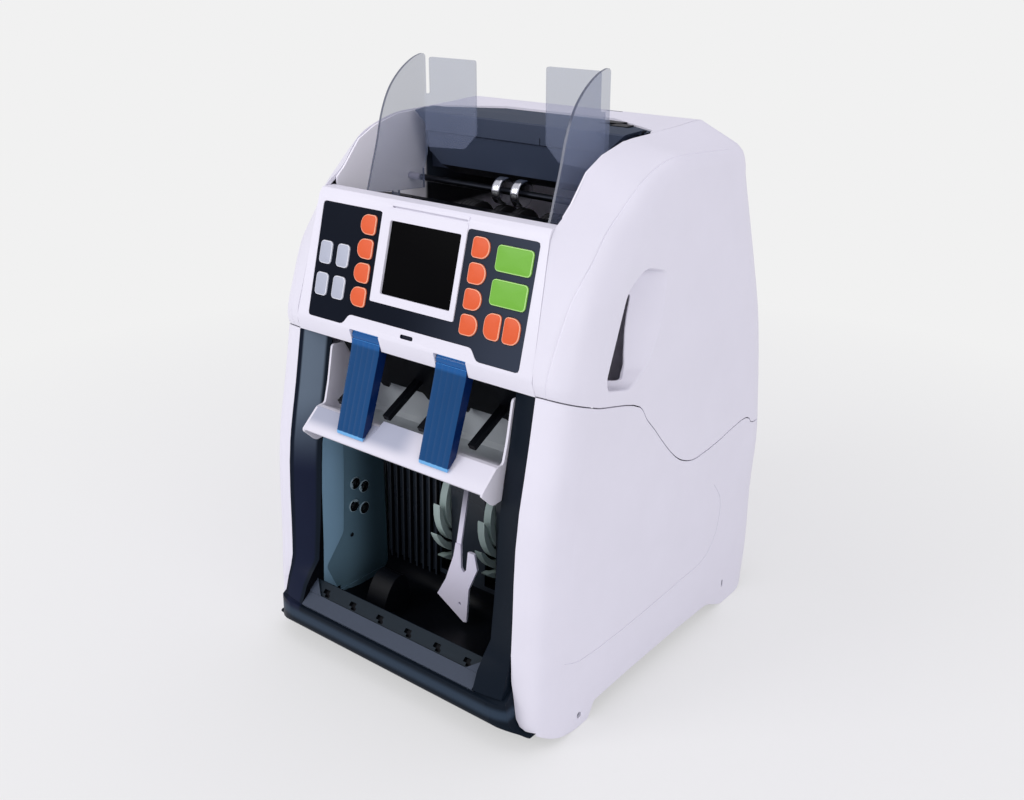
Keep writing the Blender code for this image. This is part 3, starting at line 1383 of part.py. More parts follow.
# Block components on the board: (x, y) shares of its corner, shares of its size, and their
# height as a share of the tall cans' height
CHIP_SHARES = [(0.08, 0.10, 0.22, 0.16, 0.12), (0.40, 0.12, 0.14, 0.12, 0.12),
               (0.62, 0.55, 0.30, 0.30, 1.15), (0.08, 0.80, 0.34, 0.10, 0.38),
               (0.10, 0.42, 0.05, 0.30, 0.92), (0.19, 0.42, 0.05, 0.30, 0.92),
               (0.28, 0.42, 0.05, 0.30, 0.92)]
CAN_SHARES = [(0.46, 0.46), (0.46, 0.66)]
CAN_RADIUS = 0.007
CAN_HIGH = 0.026


def main_board():
    (low_x, high_x) = (share * HALF_WIDTH for share in BOARD_X_SHARES)
    (low_y, high_y) = (body_y(share) for share in BOARD_Y_SHARES)
    foot = TRAY_BOTTOM + SHELL_WALL + FIT
    under = foot + STANDOFF
    top = under + BOARD_THICK
    board = block("main_board", (low_x, low_y, under), (high_x, high_y, top))
    extras = []
    for x in (low_x + STANDOFF_INSET, high_x - STANDOFF_INSET):
        for y in (low_y + STANDOFF_INSET, high_y - STANDOFF_INSET):
            extras.append(prism("standoff", round_outline(x, y, STANDOFF_RADIUS, 10), foot,
                                under + BOARD_THICK / 2, across_z))
    for x, y, wide, deep, high in CHIP_SHARES:
        start = Vector((low_x + (high_x - low_x) * x, low_y + (high_y - low_y) * y))
        size = Vector(((high_x - low_x) * wide, (high_y - low_y) * deep))
        extras.append(block("chip", (start.x, start.y, top - BOARD_THICK / 2),
                            (start.x + size.x, start.y + size.y, top + high * CAN_HIGH)))
    for x, y in CAN_SHARES:
        extras.append(prism("can", round_outline(low_x + (high_x - low_x) * x,
                                                 low_y + (high_y - low_y) * y, CAN_RADIUS, 14),
                            top - BOARD_THICK / 2, top + CAN_HIGH, across_z))
    join(board, gather("extras", extras))
    return dress(board, "circuit_board")


INLET_DEEP = 0.022
SOCKET_WIDE = 0.022
SOCKET_HIGH = 0.015
SOCKET_DEEP = 0.015
SOCKET_SHARE = -0.22
ROCKER_SHARE = 0.32
ROCKER_WIDE = 0.010
ROCKER_HIGH = 0.018
ROCKER_GAP = 0.0005
PRONG = 0.0012


def inlet_places():
    x, z = INLET_INSET - CHASSIS_IN, body_z(INLET_HIGH_SHARE)
    face = rear_y(z) + FIT
    return (x, z, face, x + SOCKET_SHARE * INLET_WIDE, x + ROCKER_SHARE * INLET_WIDE)


def power_inlet():
    x, z, face, socket_x, rocker_x = inlet_places()
    half_wide, half_high = INLET_WIDE / 2, INLET_HIGH / 2
    inlet = block("power_inlet", (x - half_wide - INLET_FLANGE, face, z - half_high - INLET_FLANGE),
                  (x + half_wide + INLET_FLANGE, face + INLET_FLANGE_THICK,
                   z + half_high + INLET_FLANGE))
    body = block("inlet_body", (x - half_wide + FIT, face - INLET_DEEP, z - half_high + FIT),
                 (x + half_wide - FIT, face + INLET_FLANGE_THICK / 2, z + half_high - FIT))
    join(inlet, body)
    socket = prism("socket", soften(box_outline(socket_x - SOCKET_WIDE / 2, z - SOCKET_HIGH / 2,
                                                socket_x + SOCKET_WIDE / 2, z + SOCKET_HIGH / 2),
                                    SOCKET_HIGH / 5, 2),
                   face + INLET_FLANGE_THICK - SOCKET_DEEP, face + OVERRUN, across_y)
    well = block("well", (rocker_x - ROCKER_WIDE / 2 - ROCKER_GAP, face - SOCKET_DEEP,
                          z - ROCKER_HIGH / 2 - ROCKER_GAP),
                 (rocker_x + ROCKER_WIDE / 2 + ROCKER_GAP, face + OVERRUN,
                  z + ROCKER_HIGH / 2 + ROCKER_GAP))
    cut(inlet, socket, well)
    prongs = []
    for dx, dz in ((0, SOCKET_HIGH / 5), (-SOCKET_WIDE / 4, -SOCKET_HIGH / 6),
                   (SOCKET_WIDE / 4, -SOCKET_HIGH / 6)):
        prongs.append(block("prong", (socket_x + dx - PRONG, face - SOCKET_DEEP - PRONG,
                                      z + dz - PRONG * 2),
                            (socket_x + dx + PRONG, face - SOCKET_DEEP / 4,
                             z + dz + PRONG * 2)))
    join(inlet, gather("prongs", prongs))
    return dress(inlet, "black_plastic")


ROCKER_TILT = 0.0022
ROCKER_BODY = 0.006


def power_switch():
    x, z, face, socket_x, rocker_x = inlet_places()
    half = ROCKER_HIGH / 2
    top = face + INLET_FLANGE_THICK
    outline = [(top - ROCKER_TILT, z + half), (top, z), (top + ROCKER_TILT, z - half),
               (top - ROCKER_TILT, z - half), (face - ROCKER_BODY, z - half / 2),
               (face - ROCKER_BODY, z + half / 2)]
    outline[3] = (top - ROCKER_TILT * 1.5, z - half)
    outline.append((top - ROCKER_TILT * 2.5, z + half))
    rocker = prism("power_switch", outline, rocker_x - ROCKER_WIDE / 2,
                   rocker_x + ROCKER_WIDE / 2, across_x)
    dress(rocker, "black_plastic")
    place_origin(rocker, (rocker_x, face - ROCKER_BODY / 2, z))
    return rocker


# Upper half: frame plates, hopper and feeder
FRAME_SHARES = [(-0.2900, 0.6350), (-0.2900, 0.8950), (-0.2650, 0.9110), (-0.2140, 0.9560),
                (-0.1580, 0.9770), (-0.0800, 0.9910), (0.0000, 0.9930), (0.0290, 0.9930),
                (0.0290, 0.9860), (0.2050, 0.9860),
                (0.2430, 0.9700), (0.2830, 0.9200), (0.3310, 0.8390), (0.3790, 0.7350),
                (0.4220, 0.6300), (0.4470, 0.5350), (0.4640, 0.4300), (0.4750, 0.3870)]
FRAME_FOOT_SHARES = [(0.4540, 0.3870), (0.4100, 0.4000), (0.3660, 0.4120), (0.2350, 0.4000),
                     (0.1040, 0.3950), (0.0560, 0.4080), (0.0030, 0.4380), (-0.0800, 0.5080),
                     (-0.1470, 0.5690)]
FEED_AXIS_SHARES = (-0.0400, 0.7946)
FEED_SHAFT_RADIUS = 0.004
FEED_RADIUS = 0.0215
FEED_ROLLERS = [(0.0105, 0.009), (0.045, 0.016)]
RETARD_FORWARD = 0.00105
NIP_GAP = 0.00114
RETARD_SHAFT_RADIUS = 0.003
RETARD_RADIUS = 0.012
RETARD_CENTRE = 0.0105
RETARD_WIDE = 0.008
LATCH_AXIS_SHARES = (-0.2250, 0.6740)
LATCH_RADIUS = 0.003
SHAFT_PAST = 0.0013


def retard_axis():
    """Axis of the separation rollers, which stand over the feed rollers with a small gap."""
    y, z = point_of(FEED_AXIS_SHARES)
    return y - RETARD_FORWARD, z + FEED_RADIUS + RETARD_RADIUS + NIP_GAP


def upper_frame(name, side):
    outline = side_points(FRAME_SHARES) + ear_outline(140, -150) + side_points(FRAME_FOOT_SHARES)
    plate = prism(name, outline, side * FRAME_IN, side * FRAME_OUT, across_x)
    holes = []
    for axis, radius in ((point_of(FEED_AXIS_SHARES), FEED_SHAFT_RADIUS),
                         (retard_axis(), RETARD_SHAFT_RADIUS),
                         (point_of(LATCH_AXIS_SHARES), LATCH_RADIUS),
                         (point_of(HINGE_SHARES), HINGE_PIN_RADIUS)):
        holes.append(rod("hole", *axis, radius + FIT, side * (FRAME_IN - OVERRUN),
                         side * (FRAME_OUT + OVERRUN)))
    cut(plate, gather("holes", holes))
    return dress(plate, "painted_steel")


def roller_set(name, axis, shaft_radius, rollers, finish):
    """Shaft with rollers at (x, radius, width)."""
    profile = [(-FRAME_OUT - SHAFT_PAST, shaft_radius)]
    for x, radius, wide in sorted(rollers):
        profile += [(x - wide / 2, shaft_radius), (x - wide / 2, radius), (x + wide / 2, radius),
                    (x + wide / 2, shaft_radius)]
    profile.append((FRAME_OUT + SHAFT_PAST, shaft_radius))
    rollers = turned(name, profile, *axis, 24)
    dress(rollers, finish, 30)
    place_origin(rollers, (0, *axis))
    return rollers


def feed_rollers():
    rollers = [(side * x, FEED_RADIUS, wide) for side in (-1, 1) for x, wide in FEED_ROLLERS]
    return roller_set("feed_rollers", point_of(FEED_AXIS_SHARES), FEED_SHAFT_RADIUS, rollers,
                      "rubber")


def separation_rollers():
    rollers = [(side * RETARD_CENTRE, RETARD_RADIUS, RETARD_WIDE) for side in (-1, 1)]
    return roller_set("separation_rollers", retard_axis(), RETARD_SHAFT_RADIUS, rollers,
                      "bright_steel")


HEAD_SHARES = [(0.0300, 0.9978), (-0.0414, 0.9915), (-0.0428, 0.9703), (-0.0340, 0.9640),
               (-0.0240, 0.9237), (0.0107, 0.8771), (0.1070, 0.8771), (0.1070, 0.9850),
               (0.0300, 0.9850)]
# Front view of what is missing at either end of the head's front part
HEAD_CLIP_SHARES = [(0.704, 0.9980), (0.619, 0.9725), (0.625, 0.9195), (0.585, 0.9078),
                    (0.445, 0.8560), (0.760, 0.8560), (0.760, 0.9980)]
HEAD_CLIP_BACK_SHARE = 0.0374


def feeder_head():
    half = FRAME_IN - FIT
    head = prism("feeder_head", side_points(HEAD_SHARES), -half, half, across_x)
    clips = []
    for side in (-1, 1):
        outline = [(side * x * HALF_WIDTH, body_z(z)) for x, z in HEAD_CLIP_SHARES]
        clips.append(prism("clip", outline, -BODY_DEPTH / 2, body_y(HEAD_CLIP_BACK_SHARE),
                           across_y))
    cut(head, gather("clips", clips))
    return dress(head, "navy_plastic")


FLOOR_SHARES = [(-0.2896, 0.8740), (-0.2896, 0.8587), (-0.1600, 0.8500), (-0.1043, 0.8430)]
GUIDE_SLOT_SHARES = (-0.1740, -0.1440)
GUIDE_TRAVEL = 0.032
GUIDE_SIDE = 0.0025
GUIDE_INSET = 0.024
GUIDE_HALF = CHEEK_HALF - GUIDE_INSET
GUIDE_TAB_GAP = 0.0006


def hopper_floor():
    half = FRAME_IN - FIT
    floor = prism("hopper_floor", strip_outline(side_points(FLOOR_SHARES), TRAY_SHEET), -half,
                  half, across_x)
    slots = []
    for side in (-1, 1):
        inner = GUIDE_HALF - GUIDE_SIDE - GUIDE_TRAVEL - GUIDE_TAB_GAP
        low, high = sorted((side * inner, side * (GUIDE_HALF + GUIDE_TAB_GAP)))
        slots.append(block("slot", (low, body_y(GUIDE_SLOT_SHARES[0]), 0),
                           (high, body_y(GUIDE_SLOT_SHARES[1]), BODY_HEIGHT)))
    cut(floor, gather("slots", slots))
    return dress(floor, "black_plastic", 30)


# Clear guides that slide in to the length of the notes
GUIDE_SHARES = [(-0.2570, 0.8660), (-0.2500, 0.8770), (-0.2330, 0.9160), (-0.2160, 0.9540),
                (-0.1990, 1.0010), (-0.1810, 1.0330), (-0.1620, 1.0550), (-0.1300, 1.0780),
                (-0.0960, 1.0940), (-0.0720, 1.1010), (-0.0520, 1.1030), (-0.0455, 1.0980),
                (-0.0455, 0.9200), (-0.0600, 0.8900), (-0.0600, 0.8520)]
GUIDE_TAB_SHARES = (-0.1700, -0.1480)
GUIDE_TAB_LOW_SHARE = 0.822
GUIDE_FOOT = 0.006
GUIDE_FOOT_HIGH = 0.003
FLAP_THICK = 0.0025
FLAP_INNER = 0.038
FLAP_SLOT = 0.006
FLAP_TOP_SHARE = 1.0975
FLAP_SLOT_SHARE = 1.030
FLAP_LOW_SHARES = (0.9300, 0.9350, 0.9640)
FLAP_CLIP = 0.014
FLAP_BACK_SHARE = -0.0455


def floor_z(y, thickness=0):
    line = side_points(FLOOR_SHARES[1:])
    return read_line(line, y) - thickness


def hopper_guide(name, side):
    outer, inner = GUIDE_HALF, GUIDE_HALF - GUIDE_SIDE
    outline = side_points(GUIDE_SHARES)
    guide = prism(name, outline, side * inner, side * outer, across_x)
    back = body_y(FLAP_BACK_SHARE)
    low, clip, corner = (body_z(s) for s in FLAP_LOW_SHARES)
    flap = [(side * (inner + GUIDE_SIDE / 2), low), (side * (FLAP_INNER + FLAP_CLIP), clip),
            (side * FLAP_INNER, corner), (side * FLAP_INNER, body_z(FLAP_TOP_SHARE)),
            (side * (inner - FLAP_SLOT), body_z(FLAP_TOP_SHARE)),
            (side * (inner - FLAP_SLOT), body_z(FLAP_SLOT_SHARE)),
            (side * (inner + GUIDE_SIDE / 2), body_z(FLAP_SLOT_SHARE))]
    plate = prism("flap", flap, back - FLAP_THICK, back - FIT, across_y)
    tab_low = body_z(GUIDE_TAB_LOW_SHARE)
    near, far = body_y(GUIDE_TAB_SHARES[0]), body_y(GUIDE_TAB_SHARES[1])
    low_x, high_x = sorted((side * inner, side * outer))
    under = floor_z(far + GUIDE_FOOT, TRAY_SHEET + FIT * 2)
    tab = block("tab", (low_x, near, tab_low), (high_x, far, body_z(GUIDE_SHARES[0][1]) + PLATE))
    foot = block("foot", (low_x - GUIDE_FOOT, near, under - GUIDE_FOOT_HIGH),
                 (high_x + GUIDE_FOOT, far + GUIDE_FOOT, under - FIT))
    join(guide, plate, tab, foot)
    return dress(guide, "clear_plastic", 30)


# Latch bar with a lever behind each grip and a hook beside each striker pin
LATCH_LEVER_GAP = 0.002
LATCH_LEVER_WIDE = 0.0065
LATCH_LEVER_OUT = HALF_WIDTH - GRIP_DEPTH - GRIP_WALL - LATCH_LEVER_GAP
LATCH_LEVER_IN = LATCH_LEVER_OUT - LATCH_LEVER_WIDE
LATCH_HUB = 0.0055
LEVER_SHARES = [(-0.2450, 0.6300), (-0.2650, 0.6250), (-0.2460, 0.7000), (-0.2130, 0.7600),
                (-0.2020, 0.7560), (-0.2060, 0.6900)]
HOOK_SHARES = [(-0.2330, 0.6740), (-0.2270, 0.5760), (-0.2320, 0.5650), (-0.2310, 0.5560),
               (-0.2190, 0.5560), (-0.2150, 0.6740)]
HOOK_WIDE = 0.003
HOOK_SIDE = 0.0045


def latch_bar():
    axis = point_of(LATCH_AXIS_SHARES)
    hook_in = CHASSIS_OUT + HOOK_SIDE
    reach = max(LATCH_LEVER_OUT, hook_in + HOOK_WIDE + PLATE)
    bar = rod("latch_bar", *axis, LATCH_RADIUS, -reach + PLATE, reach - PLATE)
    parts = []
    for side in (-1, 1):
        parts.append(rod("lever_hub", *axis, LATCH_HUB, side * LATCH_LEVER_IN,
                         side * LATCH_LEVER_OUT))
        parts.append(prism("lever", side_points(LEVER_SHARES), side * (LATCH_LEVER_IN + FIT),
                           side * (LATCH_LEVER_OUT - FIT), across_x))
        parts.append(prism("hook", side_points(HOOK_SHARES), side * hook_in,
                           side * (hook_in + HOOK_WIDE), across_x))
        parts.append(rod("hook_hub", *axis, LATCH_HUB, side * (hook_in - FIT),
                         side * (hook_in + HOOK_WIDE + FIT)))
    join(bar, *parts)
    dress(bar, "black_plastic", 30)
    place_origin(bar, (0, *axis))
    return bar


def build():
    for thing in list(bpy.data.objects):
        bpy.data.objects.remove(thing, do_unlink=True)
    base_tray()
    feet()
    front_frame()
    sill_strip()
    lower_rear_cover()
    reject_tray()
    stacker_tray()
    stack_press_arm()
    stacker_shaft()
    stacker_wheels()
    main_motor()
    motor_pulley()
    drive_belt()
    main_board()
    power_inlet()
    power_switch()
    diverter_gate()
    for word, side in (("left", -1), ("right", 1)):
        lower_cover("lower_cover_" + word, side)
        stacker_wall("stacker_%s_wall" % word, side)
        chassis_plate("chassis_" + word, side)
        upper_cover("upper_cover_" + word, side)
        upper_frame("upper_frame_" + word, side)
        hopper_guide("hopper_guide_" + word, side)
        stopper("stopper_" + word, side)
    top_rear_cover()
    panel_housing()
    keypad_overlay()
    keys()
    display_module()
    hopper_floor()
    feeder_head()
    separation_rollers()
    feed_rollers()
    reject_chute()
    latch_bar()


build()
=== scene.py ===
# %% [markdown]
# # A desktop banknote sorter
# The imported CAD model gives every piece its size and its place. This lesson gives each
# piece its soft moulded edges, its small forms and its finish, and leaves the sizes alone.

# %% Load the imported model
import json
import math

import bmesh
import bpy
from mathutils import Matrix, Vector


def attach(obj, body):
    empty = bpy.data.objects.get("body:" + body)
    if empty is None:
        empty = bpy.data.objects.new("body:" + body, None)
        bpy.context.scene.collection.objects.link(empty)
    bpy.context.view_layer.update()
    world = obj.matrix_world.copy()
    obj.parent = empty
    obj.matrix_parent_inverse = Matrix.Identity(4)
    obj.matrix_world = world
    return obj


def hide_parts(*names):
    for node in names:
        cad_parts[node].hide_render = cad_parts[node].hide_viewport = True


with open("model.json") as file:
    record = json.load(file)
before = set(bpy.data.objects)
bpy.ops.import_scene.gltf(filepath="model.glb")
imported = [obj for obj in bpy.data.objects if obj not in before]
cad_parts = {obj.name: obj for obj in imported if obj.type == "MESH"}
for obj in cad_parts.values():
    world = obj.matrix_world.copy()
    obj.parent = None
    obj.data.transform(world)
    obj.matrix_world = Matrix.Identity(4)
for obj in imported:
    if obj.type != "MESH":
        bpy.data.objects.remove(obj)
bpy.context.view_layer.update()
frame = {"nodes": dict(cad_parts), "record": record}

MM = 0.001
record = frame["record"]
BODY_OF = {node: body for body, nodes in record["behaviour"]["bodies"].items()
           for node in nodes}

# %% [markdown]
# ## Where the camera stands
# The sorter is seen from its right front corner and a little from above. The camera keeps
# upright, so a direction and a focal length say everything. The focal length is given in
# pixels of a picture 1024 wide, because that is how it was measured.

# %% Place the camera
PICTURE_WIDE = 1024
FOCAL_PIXELS = 1130
SENSOR_WIDE = 36
CAMERA_AT = Vector((0.6113, -0.7759, 0.6264))
CAMERA_BACK = Vector((0.577, -0.723, 0.380)).normalized()


def make_camera():
    data = bpy.data.cameras.new("camera")
    data.sensor_width = SENSOR_WIDE
    data.lens = FOCAL_PIXELS * SENSOR_WIDE / PICTURE_WIDE
    data.clip_start, data.clip_end = 0.05, 100
    camera = bpy.data.objects.new("camera", data)
    bpy.context.scene.collection.objects.link(camera)
    camera.rotation_mode = "QUATERNION"
    camera.rotation_quaternion = CAMERA_BACK.to_track_quat("Z", "Y")
    camera.location = CAMERA_AT
    bpy.context.scene.camera = camera
    return camera


print("camera lens:", round(make_camera().data.lens, 2), "mm")

# %% [markdown]
# ## Colours and nodes
# Every colour is written as the sRGB hex value that the eye sees, and one function turns it
# into the linear value that the shader wants. One more small function adds a node with its
# settings and its links, so that a material reads as a short list.

# %% Helpers for materials


def linear(colour):
    """Linear RGBA of an sRGB hex colour such as 'E6E4EE'."""
    parts = [int(colour[k:k + 2], 16) / 255 for k in (0, 2, 4)]
    return [c / 12.92 if c <= 0.04045 else ((c + 0.055) / 1.055) ** 2.4 for c in parts] + [1]


def add(tree, kind, links=None, **settings):
    """Add a node; a setting is a property of the node or the value of an input socket."""
    node = tree.nodes.new(kind)
    for name, value in settings.items():
        if hasattr(node, name):
            setattr(node, name, value)
        else:
            node.inputs[name.replace("_", " ")].default_value = value
    for socket, source in (links or {}).items():
        tree.links.new(source, node.inputs[socket])
    return node


print("white of the covers, linear:", [round(c, 3) for c in linear("E4E2EC")])

# %% [markdown]
# ## One recipe for every surface
# ABS housings leave a steel mould whose walls are etched, so the surface has a fine even
# grain, a soft sheen and almost no colour change. The real grain is 0.1 to 0.2 mm and would
# vanish at this distance, so it is drawn at about 0.8 mm. A slow cloud over some
# centimetres stands for handling, and changes the sheen a little more than the colour.
# Film, rubber and metal differ only in the size and strength of these two patterns, so one
# recipe serves them all. A fade changes the colour along one axis of the sorter.

# %% The recipe for a surface
SHEEN_SPREAD, BUMP_REACH = 0.05, 0.1 * MM


def rgba(sockets, name):
    """The colour socket of a Mix node, which has sockets of one name for each data type."""
    return [s for s in sockets if s.type == "RGBA" and s.name == name][0]


def surface(name, colour, roughness=0.45, shade=0.96, grain=0.8, bump=0.12, cloud=60,
            specular=0.5, fades=(), **extra):
    """Material with a fine grain and a slow cloud, whose sizes are in millimetres.

    Each fade is an axis, a start and an end in millimetres, and the colour beyond the end.
    """
    material = bpy.data.materials.new(name)
    material.use_nodes = True
    tree = material.node_tree
    shader = tree.nodes["Principled BSDF"]
    place = add(tree, "ShaderNodeTexCoord")
    fine = add(tree, "ShaderNodeTexNoise", {"Vector": place.outputs["Object"]},
               Scale=1 / (grain * MM), Detail=2.0, Roughness=0.5)
    slow = add(tree, "ShaderNodeTexNoise", {"Vector": place.outputs["Object"]},
               Scale=1 / (cloud * MM), Detail=3.0, Roughness=0.55)
    base = linear(colour)
    tint = add(tree, "ShaderNodeMix", {"Factor": slow.outputs["Fac"]}, data_type="RGBA")
    for socket, share in (("A", shade), ("B", 2 - shade)):
        rgba(tint.inputs, socket).default_value = [min(c * share, 1) for c in base[:3]] + [1]
    colour_out = rgba(tint.outputs, "Result")
    apart = add(tree, "ShaderNodeSeparateXYZ", {"Vector": place.outputs["Object"]})
    for axis, start, end, other in fades:
        share = add(tree, "ShaderNodeMapRange", {"Value": apart.outputs[axis]},
                    interpolation_type="SMOOTHSTEP", From_Min=start * MM, From_Max=end * MM)
        blend = add(tree, "ShaderNodeMix", {"Factor": share.outputs["Result"]},
                    data_type="RGBA")
        tree.links.new(colour_out, rgba(blend.inputs, "A"))
        rgba(blend.inputs, "B").default_value = linear(other)
        colour_out = rgba(blend.outputs, "Result")
    sheen = add(tree, "ShaderNodeMapRange", {"Value": slow.outputs["Fac"]},
                To_Min=roughness - SHEEN_SPREAD, To_Max=roughness + SHEEN_SPREAD)
    height = add(tree, "ShaderNodeBump", {"Height": fine.outputs["Fac"]},
                 Strength=bump, Distance=BUMP_REACH)
    tree.links.new(colour_out, shader.inputs["Base Color"])
    tree.links.new(sheen.outputs["Result"], shader.inputs["Roughness"])
    tree.links.new(height.outputs["Normal"], shader.inputs["Normal"])
    shader.inputs["Specular IOR Level"].default_value = specular
    for socket, value in extra.items():
        shader.inputs[socket.replace("_", " ")].default_value = value
    return material


# Injection-moulded ABS in lavender white: an even satin sheen with hardly any mirror
ABS_WHITE = surface("lavender_white_abs", "E4E2EC", roughness=0.42, specular=0.45)
# Navy ABS from the same etched mould: nearly black, with one soft narrow highlight
# Also painted as shade inside the panel's plug slot
ABS_NAVY = surface("navy_abs", "161B2B", roughness=0.36, shade=0.9, specular=0.12)
# Slate ABS: dull enough for the steps of the sill to read by tone alone
# Also painted as shade on the floors of the lower covers' recesses
ABS_SLATE = surface("slate_abs", "414957", roughness=0.4, shade=0.93, specular=0.16)
# Black ABS, coarse and matt, so that what lies inside stays in the background
# It also paints shade into holes, slots and notches, onto inner faces and under the feeder head
ABS_BLACK = surface("black_abs", "080A0F", roughness=0.42, shade=0.85, specular=0.1)
print("housing plastics:", ABS_WHITE.name, ABS_NAVY.name, ABS_SLATE.name, ABS_BLACK.name)

# %% [markdown]
# ## Plastics in the front
# These are the same ABS mouldings, deep in the pockets or tall against the pale room, and a
# fade along one axis paints the light on them: painted shade where a tray greys backwards and a
# wall darkens inwards, and a painted reflection where a column pales upwards.

# %% Plastics of the frame, the pockets and the hopper
# White ABS of the reject tray, with painted shade that greys it towards its back
ABS_TRAY = surface("lavender_white_abs_tray_painted_shade", "E4E2EC", roughness=0.42, specular=0.45,
                   fades=[("Y", -158, -110, "C3C9CD")])
# White ABS of the wedge, with the stopper's blue shadow painted on its left half
ABS_WEDGE = surface("lavender_white_abs_painted_shadow", "A9ADBF", roughness=0.42, specular=0.45,
                    fades=[("X", 0, 26, "E0DEE9"), ("Y", -166, -175, "E4E2EC")])
# Navy ABS of the front frame with painted light: the left column pales upwards as a painted
# reflection with painted shade along both its edges, the rest is a darker navy, and the bumper
# has a painted highlight band with painted shade under it
ABS_FRAME_PAINTED_LIGHT = surface("navy_abs_frame_painted_light", "191F33", roughness=0.36, shade=0.9, specular=0.05,
                    fades=[("Z", 170, 250, "606D7B"), ("X", -127, -129, "131A27"),
                           ("X", -110, -107, "111923"), ("Z", 44, 38, "303D4C"),
                           ("Z", 35, 29, "111923")])
# Blue-grey ABS of the pocket's walls, smoother than the covers, with painted shade darkening it
# inwards
ABS_STACKER = surface("blue_grey_abs", "82A5BD", roughness=0.34, shade=0.92,
                      specular=0.2, fades=[("Y", -150, -100, "48636F")])
# The same plastic painted darker on the wall's sunken field and its back, as painted shade
ABS_WALL_PAINTED_SHADE = surface("blue_grey_abs_painted_shade", "5F7C8C", roughness=0.34, shade=0.9,
                        specular=0.2, fades=[("Y", -135, -90, "2C3E48")])
# The same plastic painted paler on the raised rims of the holes, as a painted highlight
RIM_PAINTED_HIGHLIGHT = surface("blue_grey_abs_painted_highlight", "8AA0AA", roughness=0.3, shade=0.9, specular=0.4)
# Black ABS, smoother, painted lighter on the ribs' forward faces as a painted highlight
ABS_RIB_PAINTED_HIGHLIGHT = surface("black_abs_painted_highlight", "262C34", roughness=0.28, shade=0.85, specular=0.3)
# Dark slate ABS of the sill's upper step, one tone under the lower one
ABS_LEDGE = surface("dark_slate_abs", "1C262E", roughness=0.4, shade=0.9, specular=0.15)
# White ABS of the press arm, with painted shade that greys it upwards into the pocket
ABS_ARM = surface("lavender_white_abs_arm_painted_shade", "E2DEEE", roughness=0.42, specular=0.3,
                  fades=[("Z", 128, 180, "565662")])
# One navy ABS on the feeder head: painted light as a slate tone where faces turn up, navy in
# front
HEAD_TOP_PAINTED_LIGHT = surface("navy_abs_deck_painted_light", "2F3B4D", roughness=0.5, shade=0.93, specular=0.08)
HEAD_FACE = surface("navy_abs_face", "363F52", roughness=0.45, shade=0.93, specular=0.2)
print("plastics so far:", len(bpy.data.materials))

# %% [markdown]
# ## Keys, film and screen
# The key caps are moulded in dyed ABS. Each rim is painted a paler tone of the same plastic, as
# painted light on the cap's thin rounded rim. The keypad's film is polyester, printed on its
# back, so it is smoother than any moulding, and the screen is flat dark glass.

# %% Key caps, keypad film and display glass
KEY_FINISH = {}
for word, face, rim, specular in (("orange", "E05C2C", "FFB08F", 0.3),
                                  ("green", "72B438", "B4E487", 0.3),
                                  ("grey", "AFB4C3", "E4E6EE", 0.5)):
    # Dyed ABS: full colour with a satin face, and a slightly smoother rim painted lighter as
    # painted light
    KEY_FINISH[word] = (
        surface(word + "_abs_key", face, roughness=0.42, shade=0.98, specular=specular),
        surface(word + "_abs_key_rim_painted_light", rim, roughness=0.4, shade=0.98))
# Back-printed polyester film: navy under a smooth skin, with a painted sheen greying it to the
# right
FILM_NAVY = surface("navy_polyester_film_painted_sheen", "080F1C", roughness=0.34, shade=0.9, grain=0.5,
                    specular=0.06, fades=[("X", -20, 118, "343B49")])
# Anti-glare display glass over a screen that is off: black, with no sharp reflection
GLASS = surface("dark_display_glass", "040405", roughness=0.2, shade=0.9, grain=8, bump=0.01,
                specular=0.03)
print("key colours:", sorted(KEY_FINISH))

# %% [markdown]
# ## Clear plastics
# The stoppers are moulded in dyed acrylic. Its colour deepens with the thickness that light
# crosses, and light gathers at an edge, so front, sides and edges are painted in three tones of
# one blue: painted shade on the sides, and painted highlights on the edges, the foot and the
# knuckle. They are drawn opaque, because only the dark chute lies behind them. The hopper
# guides are thin clear polycarbonate sheet, which is a faint grey veil with darker cut edges.

# %% Blue acrylic and clear polycarbonate
# Polished acrylic: hardly any grain, low roughness, painted highlights as a pale foot band and
# knuckle
BLUE_CLEAR = surface("blue_acrylic", "104475", roughness=0.16, shade=0.85, grain=4,
                     bump=0.04, specular=0.2,
                     fades=[("Z", 232.8, 232.0, "6FB0E4"), ("Z", 303, 306, "1B5896")])
# The stopper's side walls, painted nearly navy as painted shade, with the pale foot band as
# highlight
BLUE_SIDE_PAINTED_SHADE = surface("blue_acrylic_side_painted_shade", "0A2250", roughness=0.16, shade=0.85, grain=4,
                    bump=0.04, specular=0.2, fades=[("Z", 232.4, 231.2, "6FA8DC")])
# Painted highlight on the faces under the foot and on top of the knuckle
BLUE_EDGE_PAINTED_HIGHLIGHT = surface("blue_acrylic_edge_painted_highlight", "5FA8E8", roughness=0.12, shade=0.9, grain=4,
                    bump=0.04, specular=0.5)
# Extruded polycarbonate sheet: glossy, and clear but for a cool grey cast
CLEAR = surface("clear_polycarbonate", "76809A", roughness=0.1, shade=0.98, grain=6,
                bump=0.02, specular=0.3, Alpha=0.3)
# Its sawn and flamed edge, which looks darker than the sheet
CLEAR_EDGE = surface("clear_polycarbonate_edge", "464C60", roughness=0.2, grain=6,
                     bump=0.02, Alpha=0.85)
print("clear plastics:", BLUE_CLEAR.name, CLEAR.name)

# %% [markdown]
# ## Rubber, metal and board
# Rubber is cured in a blasted mould and comes out matt. Steel parts keep the default IOR with
# metallic at 1: a plated plate has a dull grey shine, a ground roller mirrors the room, and a
# blackened shaft only glints. The inner frame plates are painted like the covers, with painted
# shade where they lie behind the feeder head.

